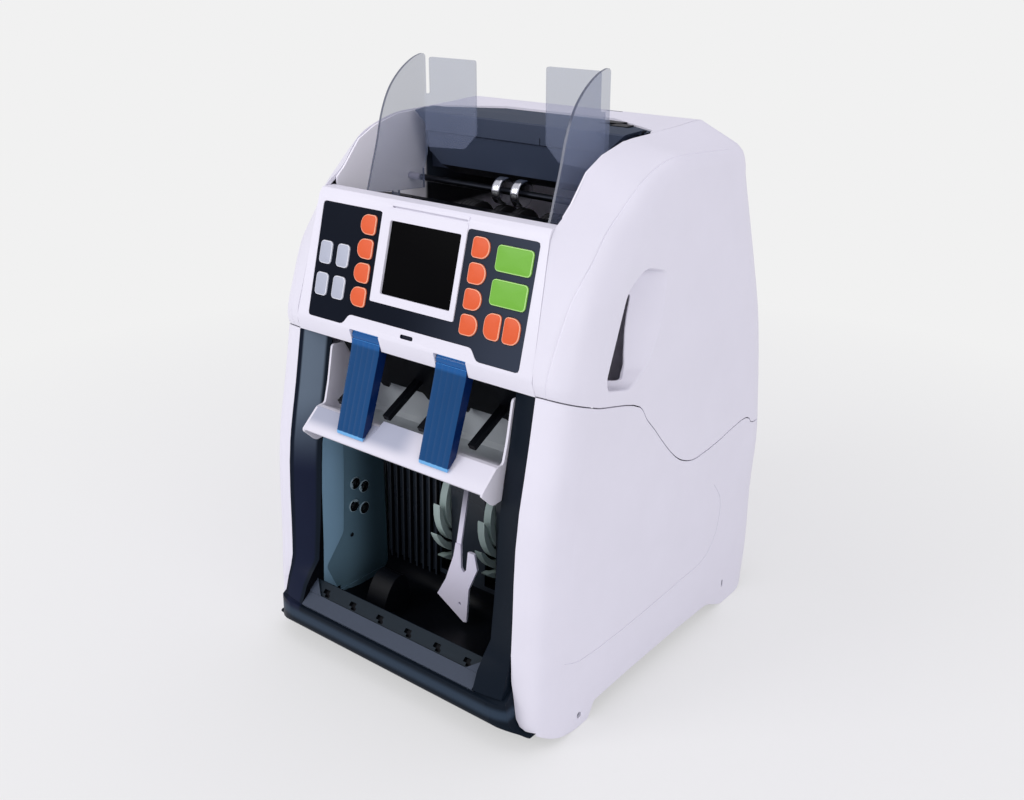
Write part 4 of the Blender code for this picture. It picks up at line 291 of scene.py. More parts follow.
# %% Rubber, metal and circuit board
# Black rubber of the feet, the belt and the feed tyres: no mirror at all, a coarser grain
RUBBER = surface("black_rubber", "15161A", roughness=0.8, shade=0.85, grain=1.2, bump=0.3)
# Grey-green rubber of the bladed wheels, with the bloom that makes soft rubber pale
BLADE_RUBBER = surface("grey_green_rubber", "A9BBB6", roughness=0.6, shade=0.9, grain=1.2)
# Zinc-plated sheet steel: a fine rolled grain and small clouds in its shine
STEEL = surface("zinc_plated_steel", "B2B6BC", roughness=0.33, shade=0.9, grain=0.6, cloud=14,
                Metallic=1.0)
# Blackened shaft steel, bare and bright past its left bearing
STEEL_DARK = surface("blackened_steel", "23252B", roughness=0.35, shade=0.9, grain=0.6,
                     cloud=14, Metallic=1.0, fades=[("X", -106, -110, "D6D4E0")])
# Ground steel of the separation rollers: bright, with soft mirrors of the room
BRIGHT = surface("ground_steel", "DADCE1", roughness=0.16, shade=0.95, grain=0.6,
                 Metallic=1.0)
# Painted steel plate in the covers' white, with painted shade: dark behind the front of the
# feeder head, darker lower down, and white again at the bottom
PAINTED = surface("painted_steel", "F2F0F8", roughness=0.4, shade=0.97, specular=0.3,
                  fades=[("Y", 9, 14, "2C3644"), ("Z", 416, 404, "0A0D13"),
                         ("Y", 14, 9, "F2F0F8"), ("Z", 386, 376, "F2F0F8")])
# Glass-fibre board under green solder resist: glossy green with faint darker patches
BOARD = surface("green_circuit_board", "1F5A3A", roughness=0.45, shade=0.8, cloud=8)

FINISH_OF = {
    "white_plastic": ABS_WHITE, "navy_plastic": ABS_NAVY, "slate_plastic": ABS_SLATE,
    "black_plastic": ABS_BLACK, "stacker_plastic": ABS_STACKER, "keypad_film": FILM_NAVY,
    "blue_clear": BLUE_CLEAR, "clear_plastic": CLEAR, "display_glass": GLASS,
    "steel": STEEL, "painted_steel": PAINTED, "bright_steel": BRIGHT, "rubber": RUBBER,
    "blade_rubber": BLADE_RUBBER, "circuit_board": BOARD,
}
print("materials:", len(bpy.data.materials), "for slots:", len(FINISH_OF))

# %% [markdown]
# ## Soft edges on the CAD solids
# A moulded or pressed edge is never sharp: a radius of a few tenths of a millimetre catches
# a thin line of light. A CAD node arrives as loose triangles, so a copy is merged, its flat
# triangles are joined into whole faces, and only then does Bevel round the edges. The copy
# stands for its node and rides on the same body.

# %% Round a copy of a node
MERGE, FLAT_ANGLE, SHARP_ANGLE, NORMAL_WEIGHT = 0.02 * MM, 1.0, 35, 60


def apply_modifiers(piece):
    """Turn what a piece's modifiers make into its own plain mesh."""
    graph = bpy.context.evaluated_depsgraph_get()
    made = bpy.data.meshes.new_from_object(piece.evaluated_get(graph))
    piece.modifiers.clear()
    piece.data = made
    return piece


def finish_mesh(piece, angle=SHARP_ANGLE):
    """Smooth shading, sharp past an angle, with large faces kept flat."""
    piece.data.shade_smooth()
    piece.data.set_sharp_from_angle(angle=math.radians(angle))
    step = piece.modifiers.new("Normals", "WEIGHTED_NORMAL")
    step.keep_sharp = True
    step.weight = NORMAL_WEIGHT
    return apply_modifiers(piece)


def new_piece(name, mesh):
    piece = bpy.data.objects.new(name, mesh)
    bpy.context.scene.collection.objects.link(piece)
    return piece


def stand_for(piece, node):
    """Ride on the node's body and hide the node."""
    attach(piece, BODY_OF[node])
    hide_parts(node)


def clean_copy(node):
    """Merged copy of a node's mesh with its flat triangles joined into faces."""
    shape = bmesh.new()
    shape.from_mesh(frame["nodes"][node].data)
    bmesh.ops.remove_doubles(shape, verts=shape.verts, dist=MERGE)
    bmesh.ops.dissolve_limit(shape, angle_limit=math.radians(FLAT_ANGLE), verts=shape.verts,
                             edges=shape.edges)
    mesh = bpy.data.meshes.new(node + "_moulded")
    shape.to_mesh(mesh)
    shape.free()
    return new_piece(mesh.name, mesh)


def round_edges(piece, width, angle, segments):
    """Bevel edges sharper than an angle in degrees, to a width in millimetres."""
    step = piece.modifiers.new("Edges", "BEVEL")
    step.width = width * MM
    step.segments = segments
    step.limit_method = "ANGLE"
    step.angle_limit = math.radians(angle)
    step.use_clamp_overlap = True
    step.harden_normals = False
    return apply_modifiers(piece)


def softened(node, slot_name, width):
    piece = clean_copy(node)
    round_edges(piece, width, 30, 2)
    piece.data.materials.clear()
    piece.data.materials.append(FINISH_OF[slot_name])
    finish_mesh(piece)
    stand_for(piece, node)


print("triangles in a foot's node:", len(frame["nodes"]["foot_front_left"].data.polygons))

# %% [markdown]
# ## Lines that the big mouldings share
# The side covers, the panel and the top cover meet along a few curves. Each curve is a short
# table of shares of the body's depth and height, and a spline goes through it, so that the
# seam and the shoulders bend as softly as a mould does. The spline is centripetal, which
# never loops or overshoots where the points are uneven.

# %% The body's sizes and curves
# The body's depth and height, its rise over the feet, and the nose as a share of the depth
BODY_DEPTH, BODY_HEIGHT, BODY_RAISE, NOSE_SHARE = 0.374, 0.472, 0.010, 0.0348
# Half widths of the body, the front frame, the space between the covers, and the pockets
HALF_WIDTH, FRONT_HALF, CHEEK_HALF, POCKET_HALF = 0.164, 0.132, 0.124, 0.104
# A cover's wall, the fit between parts, the seam's gap, a cover's overlap of its neighbour,
# and how far a cutting tool reaches past what it cuts
SHELL_WALL, FIT, SEAM_GAP, TRIM, OVER = 0.003, 0.0003, 0.0011, 0.0006, 0.02
PANEL_LOW_SHARE, PANEL_HIGH_SHARE = 0.622, 0.882

FRONT_LINE = [(-0.498, 0.008), (-0.497, 0.095), (-0.487, 0.196), (-0.480, 0.314),
              (-0.469, 0.404), (-0.437, 0.518), (-0.410, 0.623)]
REAR_LINE = [(0.471, 0.008), (0.480, 0.053), (0.484, 0.104), (0.483, 0.225),
             (0.497, 0.325), (0.493, 0.377)]
SEAM_LINE = [(-0.410, 0.623), (-0.329, 0.600), (-0.305, 0.593), (-0.147, 0.555),
             (-0.115, 0.523), (-0.080, 0.494), (-0.037, 0.456), (0.003, 0.424),
             (0.029, 0.407), (0.056, 0.394), (0.104, 0.381), (0.166, 0.381),
             (0.235, 0.386), (0.299, 0.394), (0.366, 0.398), (0.388, 0.392),
             (0.406, 0.379), (0.492, 0.375)]
print("points of front, rear and seam:", len(FRONT_LINE), len(REAR_LINE), len(SEAM_LINE))

# %% [markdown]
# ## From shares to curves
# Shares times the body's depth or height give metres. The spline then fills in the curve
# between the listed points, and a reader looks up any value along it.

# %% Curves of the body


def body_y(share):
    return (share + NOSE_SHARE / 2) * BODY_DEPTH


def body_z(share):
    return BODY_RAISE + share * BODY_HEIGHT


def places(shares):
    return [(body_y(y), body_z(z)) for y, z in shares]


def spline(points, steps, axes=(0, 1)):
    """Centripetal Catmull-Rom line through tuples; axes say what counts as distance."""
    points = [Vector(p) for p in points]

    def gap(a, b):
        return max(math.sqrt(sum((a[k] - b[k]) ** 2 for k in axes)), 1e-9) ** 0.5

    line = []
    for i in range(len(points) - 1):
        b, c = points[i], points[i + 1]
        a = points[i - 1] if i else b * 2 - c
        d = points[i + 2] if i + 2 < len(points) else c * 2 - b
        t1 = gap(a, b)
        t2 = t1 + gap(b, c)
        t3 = t2 + gap(c, d)
        for k in range(steps):
            t = t1 + (t2 - t1) * k / steps
            ab = a * ((t1 - t) / t1) + b * (t / t1)
            bc = b * ((t2 - t) / (t2 - t1)) + c * ((t - t1) / (t2 - t1))
            cd = c * ((t3 - t) / (t3 - t2)) + d * ((t - t2) / (t3 - t2))
            abc = ab * ((t2 - t) / t2) + bc * (t / t2)
            bcd = bc * ((t3 - t) / (t3 - t1)) + cd * ((t - t1) / (t3 - t1))
            line.append(abc * ((t2 - t) / (t2 - t1)) + bcd * ((t - t1) / (t2 - t1)))
    return line + [points[-1]]


def read_line(line, at, key=0):
    """Value at a key along a line of pairs whose key rises."""
    other = 1 - key
    if at <= line[0][key]:
        return line[0][other]
    for a, b in zip(line, line[1:]):
        if at <= b[key]:
            share = (at - a[key]) / max(b[key] - a[key], 1e-9)
            return a[other] + (b[other] - a[other]) * share
    return line[-1][other]


FRONT_CURVE = spline(places(FRONT_LINE), 6)
REAR_CURVE = spline(places(REAR_LINE), 6)
SEAM_CURVE = spline(places(SEAM_LINE), 5)


def panel_half(z):
    low, high = body_z(PANEL_LOW_SHARE), body_z(PANEL_HIGH_SHARE)
    return FRONT_HALF + (CHEEK_HALF - FRONT_HALF) * (z - low) / (high - low)


print("seam points:", len(SEAM_CURVE))

# %% [markdown]
# ## Outlines and where they lie
# Most mouldings have one telling outline: the side view of a cover, the front view of a key.
# It is drawn flat, in two numbers, and a short function lays it in space, across one of the
# axes or on the leaning panel. The outline's own tools grow it, soften its corners, or give
# a line a thickness.

# %% Where an outline lies


def across_x(u, v, w):
    return Vector((w, u, v))


def across_y(u, v, w):
    return Vector((u, w, v))


def across_z(u, v, w):
    return Vector((u, v, w))


# The panel leans back from its foot; UP runs along its face and OUT stands square on it
PANEL_LEAN = math.radians(15.8)
PANEL_FOOT = Vector((0, body_y(-0.416), body_z(0.657)))
PANEL_UP = Vector((0, math.sin(PANEL_LEAN), math.cos(PANEL_LEAN)))
PANEL_OUT = Vector((0, -math.cos(PANEL_LEAN), math.sin(PANEL_LEAN)))


def on_panel(u, v, w):
    """u runs right along the panel, v up its face and w out of it."""
    return PANEL_FOOT + Vector((u, 0, 0)) + PANEL_UP * v + PANEL_OUT * w


print("foot of the panel, in mm:", [round(c / MM, 1) for c in PANEL_FOOT])

# %% Tools for flat outlines
# Limits for corners: how far a very sharp one may run out when an outline grows, and how much
# of an edge the curve of a softened one may take
SHARPEST, EDGE_SHARE = 0.3, 0.45


def turn(outline):
    """Outline in anticlockwise order."""
    area = sum(a[0] * b[1] - b[0] * a[1] for a, b in zip(outline, outline[1:] + outline[:1]))
    return list(outline) if area > 0 else list(reversed(outline))


def mirrored(right):
    """Closed outline from its right half, which is listed from one end of the middle."""
    return right + [(-u, v) for u, v in reversed(right)]


def grow(outline, distance):
    """Outline moved outwards by a distance, with its corners kept."""
    points = [Vector(p) for p in turn(outline)]
    grown = []
    for k, here in enumerate(points):
        before = (here - points[k - 1]).normalized()
        after = (points[(k + 1) % len(points)] - here).normalized()
        middle = Vector((before.y + after.y, -before.x - after.x)).normalized()
        reach = max(middle.dot(Vector((after.y, -after.x))), SHARPEST)
        grown.append(tuple(here + middle * (distance / reach)))
    return grown


def arc(start, corner, end, steps):
    """Points of a soft corner: a curve from start to end that heads for the corner."""
    return [start * (1 - t) ** 2 + corner * 2 * t * (1 - t) + end * t ** 2
            for t in (k / steps for k in range(steps + 1))]


def soften(outline, radius, steps=5):
    """Outline with each corner turned into an arc-like curve."""
    points = [Vector(p) for p in outline]
    soft = []
    for k, here in enumerate(points):
        before = points[k - 1] - here
        after = points[(k + 1) % len(points)] - here
        reach = min(radius, before.length * EDGE_SHARE, after.length * EDGE_SHARE)
        soft += [tuple(p) for p in arc(here + before.normalized() * reach, here,
                                       here + after.normalized() * reach, steps)]
    return soft


def oblong(low_u, low_v, high_u, high_v):
    return [(low_u, low_v), (high_u, low_v), (high_u, high_v), (low_u, high_v)]


def circle(u, v, radius, sides=32):
    return [(u + radius * math.cos(2 * math.pi * k / sides),
             v + radius * math.sin(2 * math.pi * k / sides)) for k in range(sides)]


def strip(path, thickness):
    """A path turned into a thin closed outline on its right-hand side."""
    points = [Vector(p) for p in path]
    inner = []
    for k, here in enumerate(points):
        before = (here - points[max(k - 1, 0)]).normalized()
        after = (points[min(k + 1, len(points) - 1)] - here).normalized()
        before = before if before.length else after
        after = after if after.length else before
        middle = Vector((before.y + after.y, -before.x - after.x)).normalized()
        reach = max(middle.dot(Vector((after.y, -after.x))), SHARPEST)
        inner.append(tuple(here + middle * (thickness / reach)))
    return [tuple(p) for p in path] + inner[::-1]


print("corners of a softened square:", len(soften(oblong(0, 0, 1, 1), 0.1)))

# %% [markdown]
# ## Solids from outlines
# A solid is lofted between two or more rings of equally many points. A prism has two rings, a
# turned part has one circle for each step of its profile, and both are closed at their ends.

# %% Lofts, prisms and turned solids


def edited(mesh, edit):
    """Open a mesh for bmesh, run an edit on it, and close it."""
    shape = bmesh.new()
    shape.from_mesh(mesh)
    edit(shape)
    shape.to_mesh(mesh)
    shape.free()


def from_faces(name, points, faces):
    mesh = bpy.data.meshes.new(name)
    mesh.from_pydata([tuple(p) for p in points], [], faces)
    edited(mesh, lambda shape: bmesh.ops.recalc_face_normals(shape, faces=shape.faces))
    return new_piece(name, mesh)


def loft(name, rings):
    """Closed solid through rings of equally many points."""
    count = len(rings[0])
    points = [p for ring in rings for p in ring]
    faces = [list(range(count)), list(range((len(rings) - 1) * count, len(rings) * count))]
    for row in range(len(rings) - 1):
        for k in range(count):
            after = (k + 1) % count
            faces.append([row * count + k, row * count + after,
                          (row + 1) * count + after, (row + 1) * count + k])
    return from_faces(name, points, faces)


def prism(name, outline, near, far, place):
    return loft(name, [[place(u, v, w) for u, v in outline] for w in (near, far)])


def block(name, low, high):
    return prism(name, oblong(low[0], low[1], high[0], high[1]), low[2], high[2], across_z)


def turned(name, profile, centre, sides=48):
    """Solid turned about an axis along X, through (x, radius) points."""
    return loft(name, [[across_x(u, v, x) for u, v in circle(*centre, radius, sides)]
                       for x, radius in profile])


print("sides of a turned solid:", len(circle(0, 0, 1, 48)))

# %% [markdown]
# ## Join, cut, round and paint
# Booleans join and cut, with the exact solver because walls meet at shared planes. A finished
# piece then gets its soft edges and smooth shading with weighted normals, so that large flat
# faces stay flat right up to those edges. Where a part shows two tones of plastic, each face
# takes its material by where it lies and which way it looks.

# %% Booleans, finish and paint
HAND_MADE = set()
SIDES = (("left", -1), ("right", 1))
DOUBLES = 0.01 * MM


def change(piece, tools, operation):
    for tool in tools:
        step = piece.modifiers.new(operation.title(), "BOOLEAN")
        step.operation = operation
        step.solver = "EXACT"
        step.object = tool
    bpy.context.view_layer.update()
    apply_modifiers(piece)
    for tool in tools:
        bpy.data.objects.remove(tool, do_unlink=True)
    return piece


def cut(piece, *tools):
    return change(piece, tools, "DIFFERENCE")


def join(piece, *tools):
    return change(piece, tools, "UNION")


def finished(piece, node, slot_name, width=0, segments=2, angle=40):
    """Soft edges in millimetres, finish, body and node of a piece made by hand."""
    edited(piece.data, lambda shape: bmesh.ops.remove_doubles(shape, verts=shape.verts,
                                                              dist=DOUBLES))
    if width:
        round_edges(piece, width, angle, segments)
    if not piece.data.materials or piece.data.materials[0] is None:
        piece.data.materials.clear()
        piece.data.materials.append(FINISH_OF[slot_name])
    finish_mesh(piece)
    HAND_MADE.add(node)
    stand_for(piece, node)
    print(node, "faces:", len(piece.data.polygons))


def paint(piece, materials, pick):
    """Give each face one of several materials, by its centre and its normal."""
    piece.data.materials.clear()
    for material in materials:
        piece.data.materials.append(material)
    for face in piece.data.polygons:
        face.material_index = int(pick(face.center, face.normal))


def front_y(z):
    """Depth of the body's front edge at a height."""
    return read_line(FRONT_CURVE, z, 1)


print("front edge at half height, in mm:", round(front_y(body_z(0.5)) / MM, 1))

# %% [markdown]
# ## Upper side covers
# Each upper cover is one ABS moulding: a flat side, a softly rounded band round its front,
# top and rear, a fine styling groove along the band, and a scooped grip. The band changes
# its width and softness all the way round, so a bevel can't make it. A table of stations
# says how it looks at each place, and rows of points are worked out between them.

# %% Stations round an upper cover
UPPER_EDGE = [
    # inner edge y, z; outer corner y, z; rounded part of the band; reach; groove x in mm
    (-0.410, 0.623, -0.393, 0.610, 0.65, 0.171, 140.5),
    (-0.418, 0.650, -0.398, 0.640, 0.65, 0.183, 141.8),
    (-0.394, 0.720, -0.372, 0.708, 0.65, 0.195, 144.4),
    (-0.369, 0.788, -0.332, 0.771, 0.55, 0.195, 147.4),
    (-0.350, 0.841, -0.267, 0.818, 0.43, 0.171, 150.0),
    (-0.328, 0.879, -0.219, 0.867, 0.35, 0.146, 151.6),
    (-0.265, 0.913, -0.176, 0.900, 0.28, 0.122, 152.6),
    (-0.214, 0.958, -0.126, 0.929, 0.22, 0.098, 154.3),
    (-0.158, 0.979, -0.075, 0.949, 0.20, 0.085, 155.0),
    (-0.080, 0.993, -0.021, 0.962, 0.17, 0.073, 157.0),
    (0.000, 0.995, 0.032, 0.964, 0.16, 0.067, 159.0),
    (0.120, 0.997, 0.120, 0.961, 0.16, 0.067, 160.3),
    (0.214, 0.999, 0.209, 0.957, 0.18, 0.067, 161.0),
    (0.241, 0.996, 0.257, 0.952, 0.25, 0.073, 161.0),
    (0.265, 0.977, 0.286, 0.932, 0.40, 0.110, 160.0),
    (0.299, 0.945, 0.305, 0.911, 0.60, 0.152, 158.0),
    (0.348, 0.847, 0.348, 0.839, 0.75, 0.183, 156.0),
    (0.396, 0.742, 0.394, 0.737, 0.75, 0.183, 155.0),
    (0.439, 0.636, 0.438, 0.633, 0.75, 0.183, 154.0),
    (0.464, 0.540, 0.464, 0.538, 0.75, 0.183, 153.0),
    (0.480, 0.456, 0.480, 0.454, 0.75, 0.183, 152.0),
    (0.493, 0.377, 0.493, 0.376, 0.75, 0.183, 151.0),
]
PANEL_STATIONS, GROOVE_STATIONS, STATION_STEPS = 6, 13, 4
GROOVE_HALF, GROOVE_DEEP = 0.9 * MM, 0.55 * MM
INNER_STEPS, OUTER_STEPS, BAND_STEPS, ARC_STEPS = 7, 16, 6, 28


print("stations:", len(UPPER_EDGE))

# %% [markdown]
# ## A row across the band
# Each row runs from the panel's side over the flat of the band and round the corner. The
# groove is three close points of the row, the middle one pressed in, so that it stays crisp
# while the points beside it keep the band smooth.

# %% Rows across the band


def band_path(edge, corner, softness, inward_end):
    """Fine points from the inner edge over the band and round the corner."""
    start = corner.lerp(edge, softness)
    return [edge.lerp(start, k / BAND_STEPS) for k in range(BAND_STEPS)] \
        + arc(start, corner, inward_end, ARC_STEPS)


def along_path(path, distance):
    for a, b in zip(path, path[1:]):
        step = (b - a).length
        if distance <= step:
            return a.lerp(b, max(distance, 0) / max(step, 1e-9)), (b - a).normalized()
        distance -= step
    return path[-1].copy(), (path[-1] - path[-2]).normalized()


def grooved_row(path, along, groove_x, depth):
    """Evenly spread points along a path, with a V groove where x passes groove_x."""
    lengths = [0]
    for a, b in zip(path, path[1:]):
        lengths.append(lengths[-1] + (b - a).length)
    total = lengths[-1]
    middle = read_line(list(zip([p.x for p in path], lengths)), groove_x)
    middle = min(max(middle, GROOVE_HALF * 3), total - GROOVE_HALF * 3)
    row = [along_path(path, (middle - GROOVE_HALF) * k / INNER_STEPS)[0]
           for k in range(INNER_STEPS + 1)]
    bottom, heading = along_path(path, middle)
    out = along.cross(heading).normalized()
    if out.x + out.dot(bottom - Vector((0, 0, body_z(0.6)))) < 0:
        out = -out
    row.append(bottom - out * depth)
    start = middle + GROOVE_HALF
    row += [along_path(path, start + (total - start) * k / OUTER_STEPS)[0]
            for k in range(OUTER_STEPS + 1)]
    return row


def seam_z(y):
    return read_line(SEAM_CURVE, y)


def upper_rows():
    stations = spline(UPPER_EDGE, STATION_STEPS, axes=(2, 3))
    corners = [Vector((HALF_WIDTH, body_y(s[2]), body_z(s[3]))) for s in stations]
    main = corners[::STATION_STEPS]
    headings = [(main[min(k + 1, len(main) - 1)] - main[max(k - 1, 0)]).normalized()
                for k in range(len(main))]
    last = len(stations) - 1
    rows = []
    for k, (ey, ez, _, _, softness, reach, groove_x) in enumerate(stations):
        z = body_z(ez)
        half = max(panel_half(z), CHEEK_HALF) if k < PANEL_STATIONS * STATION_STEPS \
            else CHEEK_HALF
        edge = Vector((half - TRIM, body_y(ey), z))
        at, part = divmod(k, STATION_STEPS)
        along = headings[at].lerp(headings[min(at + 1, len(main) - 1)],
                                  part / STATION_STEPS).normalized()
        inward = Vector((0, along.z, -along.y))
        path = band_path(edge, corners[k], softness, corners[k] + inward * reach * HALF_WIDTH)
        fade = min(1, max(0, GROOVE_STATIONS * STATION_STEPS - k) / (STATION_STEPS * 2))
        row = grooved_row(path, along, groove_x * MM, GROOVE_DEEP * fade)
        if k in (0, last):
            for point in row:
                point.z = seam_z(point.y) + SEAM_GAP / 2
        rows.append(row)
    return rows


print("rows:", len(upper_rows()), "points in a row:", len(upper_rows()[0]))

# %% [markdown]
# ## From rows to a shell
# The rows make an open sheet, and one flat face closes its side. Solidify then gives it the
# wall of a moulding, on the inner side only, so that the outside keeps its size.

# %% A sheet and its wall


def sheet_of(name, rows, closing, side):
    """Open surface through rows, with one flat face that closes its side, facing outwards."""
    points = [p for row in rows for p in row] + closing
    width = len(rows[0])
    faces = [[r * width + k, r * width + k + 1, (r + 1) * width + k + 1, (r + 1) * width + k]
             for r in range(len(rows) - 1) for k in range(width - 1)]
    if closing:
        edge = [r * width + width - 1 for r in range(len(rows))]
        faces.append(edge + list(range(len(rows) * width, len(points))))
    piece = from_faces(name, [(p[0] * side, p[1], p[2]) for p in points], faces)
    widest = max(piece.data.polygons, key=lambda face: face.area)
    if widest.normal.x * side < 0:
        edited(piece.data, lambda shape: bmesh.ops.reverse_faces(shape, faces=shape.faces))
    return piece


def walled(piece):
    """Wall on the inner side of an open surface."""
    step = piece.modifiers.new("Wall", "SOLIDIFY")
    step.thickness = SHELL_WALL
    step.offset = -1
    step.use_even_offset = True
    bpy.context.view_layer.update()
    return apply_modifiers(piece)


print("wall of a cover, in mm:", SHELL_WALL / MM)

# %% [markdown]
# ## The scooped grip
# The side of the cover dips into a hollow for the hand, with a slot in its floor for the
# fingers, which reach the latch bar behind it. Rings of the hollow's outline at rising depth
# make the cutter: the first ones flare, which rounds the rim, and the last ones draw in, which
# rounds the foot. The same rings, a wall's thickness larger, first add the pocket round it.

# %% The scooped grip and the upper covers
GRIP = [(-0.146, 0.801), (-0.061, 0.782), (-0.064, 0.748), (-0.070, 0.697),
        (-0.115, 0.633), (-0.184, 0.597), (-0.273, 0.615), (-0.278, 0.636),
        (-0.210, 0.773)]
GRIP_FRONT = [(0.597, -0.262), (0.615, -0.273), (0.636, -0.278), (0.773, -0.210),
              (0.801, -0.146)]
GRIP_SLOT = [(-0.131, 0.750), (-0.168, 0.629), (-0.187, 0.608), (-0.268, 0.613),
             (-0.204, 0.746)]
GRIP_DEPTH, GRIP_WALL, GRIP_CORNER, GRIP_SLOPE = 0.022, 0.0025, 0.010, 0.45
# Depth in mm and growth of the outline in mm: a soft rim outside, a soft foot inside
GRIP_RINGS = [(-2.5, 2.6), (-0.4, 1.6), (0.0, 1.1), (0.4, 0.6), (1.1, 0.15), (2.2, 0.0),
              (8.0, 0.0), (14.0, 0.0), (18.5, -0.2), (20.5, -0.9), (21.6, -2.2), (22.0, -3.6)]


def grip_ring(outline, depth):
    """The grip's outline at a depth, drawn in towards its front edge."""
    front_line = [(body_z(z), body_y(y)) for z, y in GRIP_FRONT]
    squeeze = 1 - (1 - GRIP_SLOPE) * max(depth, 0) / GRIP_DEPTH
    ring = []
    for y, z in outline:
        front = min(read_line(front_line, z), y)
        ring.append((HALF_WIDTH - depth, front + (y - front) * squeeze, z))
    return ring


def grip_solid(name, levels, side):
    outline = soften(places(GRIP), GRIP_CORNER, 7)
    rings = [[(x * side, y, z) for x, y, z in grip_ring(grow(outline, growth * MM), depth * MM)]
             for depth, growth in levels]
    return loft(name, rings)


def front_trim(name):
    low, high = body_z(PANEL_LOW_SHARE), body_z(PANEL_HIGH_SHARE)
    right = [(panel_half(low - OVER), low - OVER), (CHEEK_HALF, high),
             (CHEEK_HALF, BODY_HEIGHT + OVER)]
    return prism(name, mirrored(right), -BODY_DEPTH, body_y(UPPER_EDGE[PANEL_STATIONS][0]),
                 across_y)


def upper_cover(word, side):
    rows = upper_rows()
    first, last = rows[0][-1].y, rows[-1][-1].y
    seam = [Vector((HALF_WIDTH, y, z + SEAM_GAP / 2)) for y, z in reversed(SEAM_CURVE)
            if first + MM < y < last - MM]
    cover = walled(sheet_of("upper_cover_%s_moulded" % word, rows, seam, side))
    join(cover, grip_solid("pocket", [(SHELL_WALL / 2 / MM, GRIP_WALL / MM),
                                      ((GRIP_DEPTH + GRIP_WALL) / MM, GRIP_WALL / MM)], side))
    slot = prism("slot", soften(places(GRIP_SLOT), 0.004, 4),
                 side * (HALF_WIDTH - SHELL_WALL * 2), side * (HALF_WIDTH - GRIP_DEPTH * 2),
                 across_x)
    rear = prism("rear", oblong(-CHEEK_HALF, -OVER, CHEEK_HALF, BODY_HEIGHT + OVER),
                 body_y(UPPER_EDGE[PANEL_STATIONS][0]) - FIT, BODY_DEPTH, across_y)
    cut(cover, grip_solid("hollow", GRIP_RINGS, side), slot, front_trim("front"), rear)
    finished(cover, "upper_cover_" + word, "white_plastic", 0.5)


for word, side in SIDES:
    upper_cover(word, side)

# %% [markdown]
# ## Lower side covers
# The lower covers carry on the same soft front corner and stand on two moulded lugs. Upright
# columns of points go round the front corner, along the side and round the rear corner, so
# one surface makes the whole cover. Each column ends just under the seam, which is found in
# a few rounds, because the seam's height depends on where the column's top comes to lie.

# %% Columns round a lower cover
LOWER_CORNER, COVER_FOOT, REAR_FROM, CORNER_STEPS = 0.0166, 0.0005, body_y(0.370), 10
# Shares of the cover's height at which a column has a point
LEVELS = [0, 0.03, 0.07, 0.12, 0.2, 0.3, 0.4, 0.5, 0.6, 0.7, 0.8, 0.88, 0.94, 1]
SEAM_ROUNDS = 8


def soft_corner(edge, corner, softness, reach, inward):
    """Points from the inner edge over a flat band and round the corner to the flat side."""
    return [edge] + arc(corner.lerp(edge, softness), corner, corner + inward * reach,
                        CORNER_STEPS)


def lower_section(z):
    """Horizontal section of a lower side cover: front corner, rear corner."""
    front, rear = read_line(FRONT_CURVE, z, 1), read_line(REAR_CURVE, z, 1)
    corner = Vector((HALF_WIDTH, front + LOWER_CORNER * BODY_DEPTH, z))
    ahead = soft_corner(Vector((FRONT_HALF - TRIM, front, z)), corner, 0.65,
                        0.171 * HALF_WIDTH, Vector((0, 1, 0)))
    behind = soft_corner(Vector((CHEEK_HALF - TRIM, rear, z)), Vector((HALF_WIDTH, rear, z)),
                         0.75, 0.183 * HALF_WIDTH, Vector((0, -1, 0)))
    return ahead, behind[::-1]


def lower_rows():
    top, low = body_z(SEAM_LINE[0][1]), body_z(SEAM_LINE[-1][1])
    ahead, behind = lower_section(top)
    middle = [p[0] for p in SEAM_CURVE if ahead[-1].y + MM < p[0] < behind[0].y - MM]
    start = lower_section(low)[1][0].y

    def point(k, z):
        ahead, behind = lower_section(z)
        if k < len(ahead):
            return ahead[k]
        if k < len(ahead) + len(middle):
            y = middle[k - len(ahead)]
            if y > REAR_FROM:
                y = REAR_FROM + (y - REAR_FROM) * (behind[0].y - REAR_FROM) \
                    / (start - REAR_FROM)
            return Vector((HALF_WIDTH, y, z))
        return behind[k - len(ahead) - len(middle)]

    rows = []
    for k in range(len(ahead) + len(middle) + len(behind)):
        high = top if k < len(ahead) else low
        for _ in range(SEAM_ROUNDS):
            high = seam_z(point(k, high).y) - SEAM_GAP / 2
        rows.append([point(k, COVER_FOOT + (high - COVER_FOOT) * s) for s in LEVELS])
    return rows


print("columns:", len(lower_rows()))

# %% [markdown]
# ## Cuts in the lower covers
# The cut under each cover is one long curve between its lugs, and the front is cut to the
# bumper's rounded end. A faint line, a screw's seat in the front lug and a short slit at the
# rear show on the side. Each is a shallow cutter with that outline.

# %% The lower covers
UNDER = [(-0.560, 0.060), (-0.520, 0.042), (-0.495, 0.021), (-0.470, 0.0085),
         (-0.440, -0.0035), (-0.409, -0.0125), (-0.378, -0.0180), (-0.350, -0.0202),
         (-0.318, -0.0202), (-0.304, -0.0085), (-0.290, 0.0080), (-0.282, 0.0097),
         (0.210, 0.0097), (0.240, 0.0050), (0.265, -0.0045), (0.292, -0.0140),
         (0.314, -0.0202), (0.385, -0.0202), (0.410, -0.0150), (0.434, -0.0020),
         (0.452, 0.0190), (0.463, 0.0400), (0.470, 0.0600), (0.600, 0.0600)]
LINE_MM = [(-146.9, 76.9), (-124.7, 68.6), (36.6, 68.8), (82.7, 73.6), (101.4, 93.9),
           (104.9, 125.1), (90.2, 147)]
